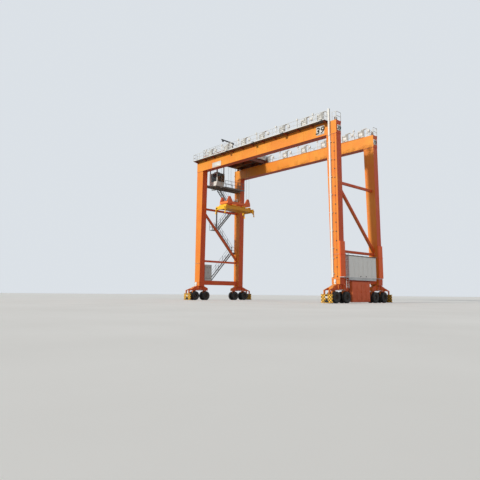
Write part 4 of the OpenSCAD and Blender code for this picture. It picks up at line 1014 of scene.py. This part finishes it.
class CRANE_OT_girder_tops(bpy.types.Operator):
    """Stand the cable posts and boxes along both girders, and hang the lamps of the walkway"""

    bl_idname = "crane.girder_tops"
    bl_label = "Girder tops"

    def execute(self, context):
        # one group: a tall post with its loop, a bundle that runs up, down and up, and two posts with blocks
        tubes = [tube_along(bent([(0, 0, 1.3), (0.3, 0, 1.3), (0.3, 0, 0)], 0.08), 0.034)]
        for x, height, radius in ((0, 1.72, 0.05), (2.1, 1.56, 0.045), (2.4, 1.2, 0.04)):
            tubes.append(tube_along([(x, 0, 0), (x, 0, height)], radius))
        for y in (-0.09, -0.03, 0.03, 0.09):
            for x in (0.0, 0.16, 0.32):
                path = [(x + 0.72, y, 0), (x + 0.72, y, 1.42), (x + 1.3, y, 0.3), (x + 1.3, y, 1.5), (2.1, y, 1.5)]
                tubes.append(tube_along(bent(path[: 5 if x == 0.32 else 4], 0.12, 4), 0.034, 7))
        feet = rows_of([0, 0.3, 0.72, 0.88, 1.04, 2.1, 2.4], [0], [0])
        boxes = [repeated(chamfered((0.08, 0.08), 0.0, 0.02, 0.005), feet)]
        for x, half, low, high in (
            (1.18, (0.3, 0.115), 0.5, 1.0),
            (0, (0.1, 0.09), 1.5, 1.78),
            (2.4, (0.12, 0.09), 0.9, 1.3),
        ):
            boxes.append(repeated(chamfered(half, low, high, 0.012), [x, 0, 0]))
        starts = rows_of([*np.arange(-11.65, 8.0, 3.85), 10.24], [-4.6, 4.6], [GIRDER_TOP])
        put("girder_top_tubes", "white", repeated(joined(*tubes), starts), smooth=40)
        put("girder_top_boxes", "white", repeated(joined(*boxes), starts))
        # lamps outside the toe board, on two arms each
        spots = rows_of([-5.5, 0.12, 5.74, 12.3], [-WALK_EDGE - 0.16], [22.44])
        arm = blocks([[-0.03, 0.0, -0.03], [-0.03, 0.15, -0.2]], [[0.03, 0.15, 0.0], [0.03, 0.165, 0.0]])
        put_lamps("walkway", spots, 0.5, arm)
        return {"FINISHED"}


class CRANE_OT_trolley(bpy.types.Operator):
    """Dress the hoist machinery, the trolley's house, its lamps and end trucks"""

    bl_idname = "crane.trolley"
    bl_label = "Trolley fittings"

    def execute(self, context):
        x0 = TROLLEY_X
        fit = partial(put, on="trolley")
        # motor: 40 cooling fins as one toothed outline, end rings, a fan cover with its rings, a terminal box
        teeth = ring_of(np.where(np.arange(160) % 4 < 2, 0.352, 0.318), 160)
        cover = [(0.345, 1.62), (0.345, 1.8), (0.3, 1.84), (0.22, 1.84)]
        cover += [(0.22, 1.825), (0.16, 1.825), (0.16, 1.84), (0.06, 1.84)]
        end_rings = [(0.36, 0.72), (0.36, 0.77)], [(0.36, 1.56), (0.36, 1.61)]
        turns = [turned(profile, 1, steps=40) for profile in (*end_rings, cover)]
        case = repeated(chamfered((0.16, 0.2), 0.0, 0.2), [0, 1.15, 0.34])
        motor = joined(pushed(teeth, 1, 0.8, 1.55), *turns, case)
        fit("hoist_motor", "machine", repeated(motor, [x0, 0, MOTOR_Z]))
        # gearbox: split flange, ribs and an inspection cover; bearing covers on the end stands
        flange = repeated(blocks([-0.5, -0.04, -0.03], [0.5, 0.04, 0.03]), rows_of([x0], [-1.36, 0.42], [DRUM_Z]))
        rib = blocks([-0.012, -1.42, DECK_Z], [0.012, -1.32, DRUM_Z - 0.04])
        ribs = repeated(rib, rows_of([x0 - 0.4, x0, x0 + 0.4], [0], [0]))
        lid = repeated(chamfered((0.25, 0.2), 0.0, 0.06), [x0, -0.85, DECK_Z + 1.16])
        bearing = turned([(0.17, 0.0), (0.17, 0.03), (0.11, 0.055)], 0, (x0 + 2.32, DRUM_Y, DRUM_Z), 28)
        fit("gearbox_castings", "machine", flange, ribs, lid, mirrored(bearing, 0, x0), smooth=35, bevel=0.004)
        # bolts of the split flange, the bearing covers, the stands and the motor's foot
        ring = hex_bolts(ring_of(0.14, 8, 0, (x0 + 2.35, DRUM_Y, DRUM_Z)), 0, 0.026)
        fit(
            "machinery_bolts",
            "zinc",
            hex_bolts(rows_of((x0 - 0.44, x0 + 0.44, 7), [-1.36, 0.42], [DRUM_Z + 0.03]), 2, 0.04),
            mirrored(ring, 0, x0),
            hex_bolts(rows_of([x0 - 2.38, x0 + 2.38], [-1.05, -0.35], [DECK_Z]), 2, 0.05),
            hex_bolts(rows_of([x0 - 0.3, x0 + 0.3], [0.9, 1.5], [DECK_Z + 0.33]), 2, 0.05),
        )
        # brake: caliper over the disc, on its pedestal
        lows = [[x0 + 0.2, 0.44, DECK_Z], [x0 + 0.2, 0.61, DECK_Z], [x0 + 0.28, 0.53, MOTOR_Z - 0.02]]
        highs = [[x0 + 0.4, y, MOTOR_Z + z] for y, z in ((0.53, 0.12), (0.67, 0.12), (0.61, 0.08))]
        thruster = turned([(0.07, 0.67), (0.07, 0.8), (0.05, 0.82)], 1, (x0 + 0.3, 0, MOTOR_Z + 0.02), 20)
        fit("hoist_brake", "dark", blocks(lows, highs), thruster, bevel=0.006)
        # the house: a door under its drip rail, and two panels with vents over them
        panels = [hung(sign_plate(0.42, 0.92, 0.025, 0.03), (-6.56, 2.72, 23.92), "+x")]
        panels.append(hung(sign_plate(0.46, 0.012, 0.07, 0.01), (-6.56, 2.72, 24.87), "+x"))
        vents = [hung(louvres(0.22, 0.14, 5), (-6.535, 2.72, 24.5), "+x")]
        vents.append(hung(louvres(0.3, 0.3, 9), (-6.56, 3.5, 24.1), "+x"))
        for x in (-8.15, -7.15):
            panels.append(hung(sign_plate(0.38, 0.5, 0.02, 0.03), (x, 2.15, 23.75), "-y"))
            vents.append(hung(louvres(0.25, 0.16, 6), (x, 2.15, 24.55), "-y"))
        fit("trolley_house_panels", "white", *panels, bevel=0.003)
        fit("trolley_house_louvres", "cabinet", *vents)
        handle = hung(door_furniture(0.42, 0.85, 0.16), (-6.535, 2.72, 23.92), "+x")
        fit("trolley_house_handle", "steel", handle, smooth=40)
        # floodlights under the outer cross girders, looking down, but for the place of the cabin's hangers
        spots = [[x0 + x, y, 22.35] for x, y in ((-2.7, -3.1), (-2.7, 3.1), (2.7, -3.1), (2.7, -0.3), (2.7, 3.1))]
        put_lamps("trolley", spots, 0.15, on="trolley")
        # end trucks: wheel covers with bolts on their outer sides, rubber on the buffers
        trucks = [((x0 + x, s * 4.36, 22.86), facing) for x in (-2.58, 2.58) for s, facing in Y_SIDES]
        heads = hex_bolts(rows_of([-0.32, 0.32], [-0.16, 0.16], [0.02]), 2, 0.03)
        fit("truck_plates", "orange", *(hung(sign_plate(0.38, 0.22, 0.02, 0.04), *truck) for truck in trucks))
        fit("truck_bolts", "zinc", *(hung(heads, *truck) for truck in trucks))
        pad = turned([(0.08, 0.0), (0.095, 0.03), (0.08, 0.06)], 2, steps=24)
        pads = [hung(pad, (x0 + s * 3.22, y, 22.81), facing) for s, facing in X_SIDES for y in (-ROW, ROW)]
        fit("buffer_pads", "rubber", *pads, smooth=40)
        return {"FINISHED"}


def seat_surface():
    """The moulded seat shell as an open sheet, for a modifier to thicken.

    The section runs from the front lip over the pan and up the back, and it dips between its sides by 40 mm times
    the square of the sine over its width.
    """
    section = bent([(0.3, 0.0), (0.26, 0.04), (-0.2, 0.0), (-0.34, 0.62), (-0.36, 0.8)], 0.07, 6)[:, :2]
    across = np.linspace(0, 1, 13)
    dish = 0.04 * np.sin(np.pi * across) ** 2
    u = np.linspace(0, 1, len(section))[:, None]
    x = section[:, :1] - dish * (u > 0.5) * 0.8
    z = section[:, 1:] - dish * (u <= 0.5)
    y = (0.25 - 0.04 * u**2) * (2 * across - 1)
    return np.stack([x, y, z], 2).reshape(-1, 3), [grid_faces(len(section), 13)]


class CRANE_OT_cabin(bpy.types.Operator):
    """Fit gaskets, seat, consoles, wipers, air unit, visor, rails and door furniture to the cabin"""

    bl_idname = "crane.cabin"
    bl_label = "Cabin fittings"

    def execute(self, context):
        nose, back, left, right = -11.35, -13.3, CABIN_Y - 0.8, CABIN_Y + 0.8
        pane_ys, pane_z = (CABIN_Y - 0.36, CABIN_Y + 0.36), 19.835
        fit = partial(put, on="trolley")
        strips = [hung(window_frame(0.33, 0.635), (nose, y, pane_z), "+x") for y in pane_ys]
        strips.append(hung(window_frame(0.63, 0.615), (-12.15, left, pane_z), "-y"))
        strips.append(hung(window_frame(0.4, 0.615), (-11.92, right, pane_z), "+y"))
        strips.append(hung(window_frame(0.55, 0.525), (back, CABIN_Y, 19.885), "-x"))
        fit("window_gaskets", "gasket", *strips, bevel=0.003)
        # door side: the leaf's outline, its hinges and its handle
        door = (-12.78, right, 19.6)
        fit("cabin_door_seal", "gasket", hung(window_frame(0.36, 0.95, 0.02, 0.01), door, "+y"))
        fit("cabin_door_handle", "steel", hung(door_furniture(0.36, 0.9, 0.3), door, "+y"), smooth=40)
        # a grab rail on both front corners, and a wiper on each front window
        rails, wipers = [], []
        for y in (left + 0.05, right - 0.05):
            path = [(nose, y, 18.98), (nose + 0.07, y, 18.98), (nose + 0.07, y, 20.3), (nose, y, 20.3)]
            rails.append(tube_along(bent(path, 0.05), 0.014))
        for y in pane_ys:
            path = [(nose + 0.005, y, 19.17), (nose + 0.05, y, 19.19), (nose + 0.03, y + 0.2, 19.75)]
            wipers.append(tube_along(bent(path, 0.03), 0.008, 6))
            wipers.append(tube_along([(nose + 0.012, y + 0.06, 19.5), (nose + 0.012, y + 0.3, 20.05)], 0.012, 6))
        fit("cabin_grab_rails", "zinc", *rails, smooth=40)
        fit("cabin_wipers", "ink", *wipers, smooth=40)
        # visor over the front, and the air unit on the roof between the hangers
        section = [(20.6, nose - 0.02), (20.515, nose + 0.2), (20.5, nose + 0.2), (20.56, nose - 0.02)]
        unit = repeated(chamfered((0.42, 0.36), 0.0, 0.3, 0.03), [-12.35, CABIN_Y, 20.61])
        fit("cabin_roof_fittings", "cabin", pushed(section, 1, left, right), unit, bevel=0.004)
        vents = [hung(louvres(0.28, 0.1, 5), (-12.35, CABIN_Y + s * 0.36, 20.75), facing) for s, facing in Y_SIDES]
        fit("air_unit_louvres", "dark", *vents)
        seat = fit("seat_shell", "seat", repeated(seat_surface(), [-12.35, CABIN_Y, 19.0]), smooth=60)
        sheet = seat.modifiers.new("thickness", "SOLIDIFY")
        sheet.thickness, sheet.offset = 0.025, 0.0
        rounding = seat.modifiers.new("smooth", "SUBSURF")
        rounding.levels = rounding.render_levels = 1
        # the seat's pedestal, and a console with its control stick on both sides
        pedestal = [(0.2, 18.52), (0.2, 18.56), (0.06, 18.6), (0.06, 18.93), (0.16, 18.97)]
        stick = [(0.03, 19.22), (0.012, 19.25), (0.012, 19.36), (0.026, 19.38), (0.026, 19.42), (0.012, 19.44)]
        console = repeated(chamfered((0.3, 0.09), 18.95, 19.22, 0.02), [-12.2, 0, 0])
        console = joined(console, turned(stick, 2, (-12.0, 0, 0), 14))
        consoles = repeated(console, [[0, CABIN_Y + s * 0.37, 0] for s in SIDES])
        fit("seat_consoles", "ink", turned(pedestal, 2, (-12.38, CABIN_Y, 0), 20), consoles, smooth=40)
        # small lamps under the nose
        put_lamps("cabin", [[-11.6, y, 18.46] for y in (-2.2, -1.1)], 0.0, size=0.6, on="trolley")
        return {"FINISHED"}


class CRANE_OT_spreader(bpy.types.Operator):
    """Dress the headblock and the spreader with basket, cable, hoses, drives and bolts"""

    bl_idname = "crane.spreader"
    bl_label = "Spreader fittings"

    def execute(self, context):
        x0, top, deck = TROLLEY_X, HEADBLOCK_TOP, SPREADER_TOP
        fit = partial(put, on="headblock")
        # basket: hoops and bars on the middle beam, with the cable laid in it
        bars = []
        for z, r in ((0.02, 0.3), (0.24, 0.35), (0.46, 0.39), (0.66, 0.42)):
            bars.append(tube_along(ring_of(r, 32, 2, (x0, 0, top + z)), 0.009, 6, closed=True))
        for way in ring_of(1.0, 16):
            path = [way * r + [x0, 0, top + z] for r, z in ((0.1, 0.012), (0.3, 0.012), (0.42, 0.66))]
            bars.append(tube_along(bent(path, 0.06, 3), 0.007, 6))
        fit("cable_basket", "zinc", *bars, smooth=40)
        t = np.linspace(0, 5 * 2 * np.pi, 160)
        r = np.interp(t, [0, t[-1]], [0.25, 0.3])
        coil = np.stack([x0 + r * np.cos(t), r * np.sin(t), top + 0.045 + 0.05 * t / (2 * np.pi)], 1)
        fit("cable_in_basket", "gasket", tube_along(coil, 0.022, 8), smooth=40)
        # the taut cable from the basket to the trolley's middle girder
        z = np.linspace(top + 0.05, 22.34, 40)
        cable = tube_along([(x0, 0, height) for height in z], 0.022, 12)
        cable = put("spreader_cable", "gasket", cable, on=None, smooth=40)
        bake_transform(cable)
        socket = turned([(0.1, 22.27), (0.1, 22.3), (0.05, 22.31), (0.05, 22.35)], 2, (x0, 0, 0), 20)
        put("cable_clamp", "zinc", socket, on="trolley", smooth=40)
        # headblock: cheeks and pin keepers of the four sheaves, bolts on the beams
        cheek = [(1.42, top), (2.44, top), (2.44, 15.6), (2.2, 16.2), (2.12, 16.3)]
        cheek += [(1.88, 16.3), (1.8, 16.2), (1.42, 15.6)]
        keeper = turned([(0.08, 0.0), (0.08, 0.018)], 2, steps=20)
        keeper = joined(keeper, blocks([-0.07, -0.14, 0], [0.07, -0.1, 0.014]))
        keeper_bolts = hex_bolts([[-0.045, -0.12, 0.014], [0.045, -0.12, 0.014]], 2, 0.024)
        beam_bolts = hex_bolts(rows_of([-0.1, 0.1], [-0.13, 0.13], [0]), 2, 0.03)
        gussets, plates, bolts = [], [], []
        for s, outward in X_SIDES:
            x = x0 + s * 0.85
            gussets += [pushed(cheek, 0, x + d - 0.007, x + d + 0.007) for d in (-0.11, 0.11)]
            bolts += [hung(beam_bolts, (x + s * 0.13, y, 15.34), outward) for y in (-2.3, -1.1, 0, 1.1, 2.3)]
            for side, facing in X_SIDES:
                for y in (-2.0, 2.0):
                    plates.append(hung(keeper, (x + side * 0.117, y, 16.05), facing))
                    bolts.append(hung(keeper_bolts, (x + side * 0.117, y, 16.05), facing))
        fit("sheave_gussets", "headblock", mirrored(joined(*gussets), 1), bevel=0.003)
        fit("sheave_keepers", "steel", *plates, smooth=40)
        fit("headblock_bolts", "zinc", *bolts)
        # spreader: motors, valve blocks and hoses on the deck, bolts on its beams and lids
        drive = turned([(0.09, -0.2), (0.11, -0.18), (0.11, 0.05), (0.07, 0.08), (0.07, 0.2)], 1, steps=24)
        drives = repeated(drive, [[x0 + s * 0.25, 0, deck + 0.12] for s in SIDES])
        valves = repeated(chamfered((0.16, 0.12), 0.0, 0.14), [[x0, y, deck] for y in (-0.75, 0.75)])
        fit("spreader_drives", "dark", drives, valves, smooth=35)
        hoses, z = [], deck + 0.042
        for s in SIDES:
            for dx in (-0.12, -0.04, 0.04, 0.12):
                path = [(x0 + dx, s * 0.8, deck + 0.1), (x0 + dx, s * 1.0, z), (x0 + dx * 1.6, s * 2.1, z)]
                hoses.append(tube_along(bent(path, 0.08), 0.014, 6))
        fit("spreader_hoses", "gasket", *hoses, smooth=40)
        beams = rows_of((x0 - 0.8, x0 + 0.8, 9), [-2.58, -2.32, 2.32, 2.58], [15.0])
        lids = rows_of([x0 - 0.72, x0 - 0.32, x0 + 0.32, x0 + 0.72], (-0.45, 0.45, 4), [14.97])
        fit("spreader_bolts", "zinc", hex_bolts(beams, 2, 0.036), hex_bolts(lids, 2, 0.026))
        # at each end: hinge motors of the corner guides, twistlock collars and a junction box
        motor = turned([(0.06, 0.0), (0.075, 0.02), (0.075, 0.16), (0.05, 0.2)], 2, steps=20)
        collar = turned([(0.07, -0.43), (0.07, -0.4), (0.05, -0.399)], 2, steps=16)
        for body, s in (("spreader_arm_front", -1), ("spreader_arm_rear", 1)):
            ends = []
            for side, facing in ((-1, "+x"), (1, "-x")):
                ends.append(hung(motor, (x0 + side * 1.044, s * 3.105, 14.43), facing))
                ends.append(repeated(collar, [x0 + side * 1.129, s * 2.926, 14.3]))
            case = repeated(chamfered((0.14, 0.06), 0.0, 0.1), [x0, s * 2.9, 14.72])
            put(f"{body}_motors", "dark", *ends, on=body, smooth=40)
            put(f"{body}_box", "yellow", case, on=body, bevel=0.004)
        return {"FINISHED"}


class CRANE_OT_stage(bpy.types.Operator):
    """Lay the pale floor, hang the lamps and set the camera to the measured view"""

    bl_idname = "crane.stage"
    bl_label = "Stage"

    def execute(self, context):
        scene, look = context.scene, sizes()
        mesh = bpy.data.meshes.new("floor")
        mesh.from_pydata(ring_of(900, 96, 2, (0, 0, -0.002)).tolist(), [], [list(range(96))])
        floor = bpy.data.objects.new("floor", mesh)
        scene.collection.objects.link(floor)
        # pale to the eye, but darker to the light that it throws back under the crane
        material, add, place = new_material("floor_paper")
        seen = add("LightPath", out="Is Camera Ray")
        speck = add("TexNoise", {"Vector": place, "Scale": 0.16, "Detail": 4.0})
        speck = add("MapRange", {0: speck, 1: 0.3, 2: 0.7, 4: 0.3})
        shown = add("Mix", {0: speck, 6: look.floor_colour, 7: "#E2E0DB"}, **RGBA)
        colour = add("Mix", {0: seen, 6: "#B9B4AC", 7: shown}, **RGBA)
        add("OutputMaterial", {"Surface": add("BsdfPrincipled", {"Base Color": colour, "Roughness": 0.9})})
        mesh.materials.append(material)
        # world: soft light, and nearly white to the camera, to mirrors and through glass
        world = bpy.data.worlds.new("sky")
        scene.world = world
        world.use_nodes = True
        world.node_tree.nodes.clear()
        add = partial(add_node, world.node_tree)
        camera_ray, glossy, through = add("LightPath", out=("Is Camera Ray", "Is Glossy Ray", "Is Transmission Ray"))
        direct = add("Math", {0: camera_ray, 1: glossy}, operation="MAXIMUM")
        direct = add("Math", {0: direct, 1: through}, operation="MAXIMUM")
        strength = add("MapRange", {0: direct, 3: look.sky_power, 4: 0.9})
        add("OutputWorld", {0: add("Background", {0: "#E6ECF2", 1: strength})})
        # the key lamp is the low sun in front of the crane, and a weak wide one fills in from the camera's right
        for name, power, angle, colour, direction in (
            ("key", look.sun_power, look.sun_angle, (1.0, 0.95, 0.87), (0.056, 1.0, -0.35)),
            ("fill", look.fill_power, math.radians(60), (1.0, 1.0, 1.0), (-1.0, 0.25, -0.3)),
        ):
            light = bpy.data.lights.new(name, "SUN")
            light.energy, light.angle, light.color = power, angle, colour
            lamp = bpy.data.objects.new(name, light)
            lamp.rotation_mode = "QUATERNION"
            lamp.rotation_quaternion = Vector(direction).to_track_quat("-Z", "Y")
            scene.collection.objects.link(lamp)
        # camera: fitted to 60 measured points of the picture, 480 pixels wide
        picture, focal, centre_y = 480, 477.756, 213.5
        azimuth, pitch, roll = math.radians(47.2254), math.radians(9.6124), math.radians(0.4789)
        ahead = Vector((-math.sin(azimuth), math.cos(azimuth), math.tan(pitch))).normalized()
        level = ahead.cross(Vector((0, 0, 1))).normalized()
        up = level.cross(ahead)
        right = math.cos(roll) * level + math.sin(roll) * up
        over = -math.sin(roll) * level + math.cos(roll) * up
        data = bpy.data.cameras.new("camera")
        data.sensor_width = 36.0
        data.lens = focal * data.sensor_width / picture
        data.shift_y = (centre_y - picture / 2) / picture
        data.clip_end = 2000.0
        camera = bpy.data.objects.new("camera", data)
        turn = Matrix((right, over, -ahead)).transposed().to_4x4()
        camera.matrix_world = Matrix.Translation((47.027, -51.302, 0.924)) @ turn
        scene.collection.objects.link(camera)
        scene.camera = camera
        scene.view_settings.view_transform = "Standard"
        return {"FINISHED"}


OPERATORS = [
    CRANE_OT_stage,
    CRANE_OT_finishes,
    CRANE_OT_wheels,
    CRANE_OT_ropes,
    CRANE_OT_signs,
    CRANE_OT_steelwork,
    CRANE_OT_bogies,
    CRANE_OT_power_side,
    CRANE_OT_girder_tops,
    CRANE_OT_trolley,
    CRANE_OT_cabin,
    CRANE_OT_spreader,
]


class CRANE_PT_panel(bpy.types.Panel):
    """The crane's sizes, colours and building steps"""

    bl_idname = "CRANE_PT_panel"
    bl_label = "Crane"
    bl_space_type = "VIEW_3D"
    bl_region_type = "UI"
    bl_category = "Crane"

    def draw(self, context):
        look = context.scene.crane_look
        for name in CraneLook.__annotations__:
            self.layout.prop(look, name)
        for operator in OPERATORS:
            self.layout.operator(operator.bl_idname)


CLASSES = [CraneLook, *OPERATORS, CRANE_PT_panel]


def register():
    for cls in CLASSES:
        bpy.utils.register_class(cls)
    bpy.types.Scene.crane_look = PointerProperty(type=CraneLook)


def unregister():
    del bpy.types.Scene.crane_look
    for cls in reversed(CLASSES):
        bpy.utils.unregister_class(cls)


def main():
    """Registers the classes and runs each step."""
    register()
    for operator in OPERATORS:
        step = getattr(bpy.ops.crane, operator.bl_idname.split(".")[1])
        if step() != {"FINISHED"}:
            raise RuntimeError(f"{operator.bl_idname} didn't finish")


if __name__ == "__main__":
    main()
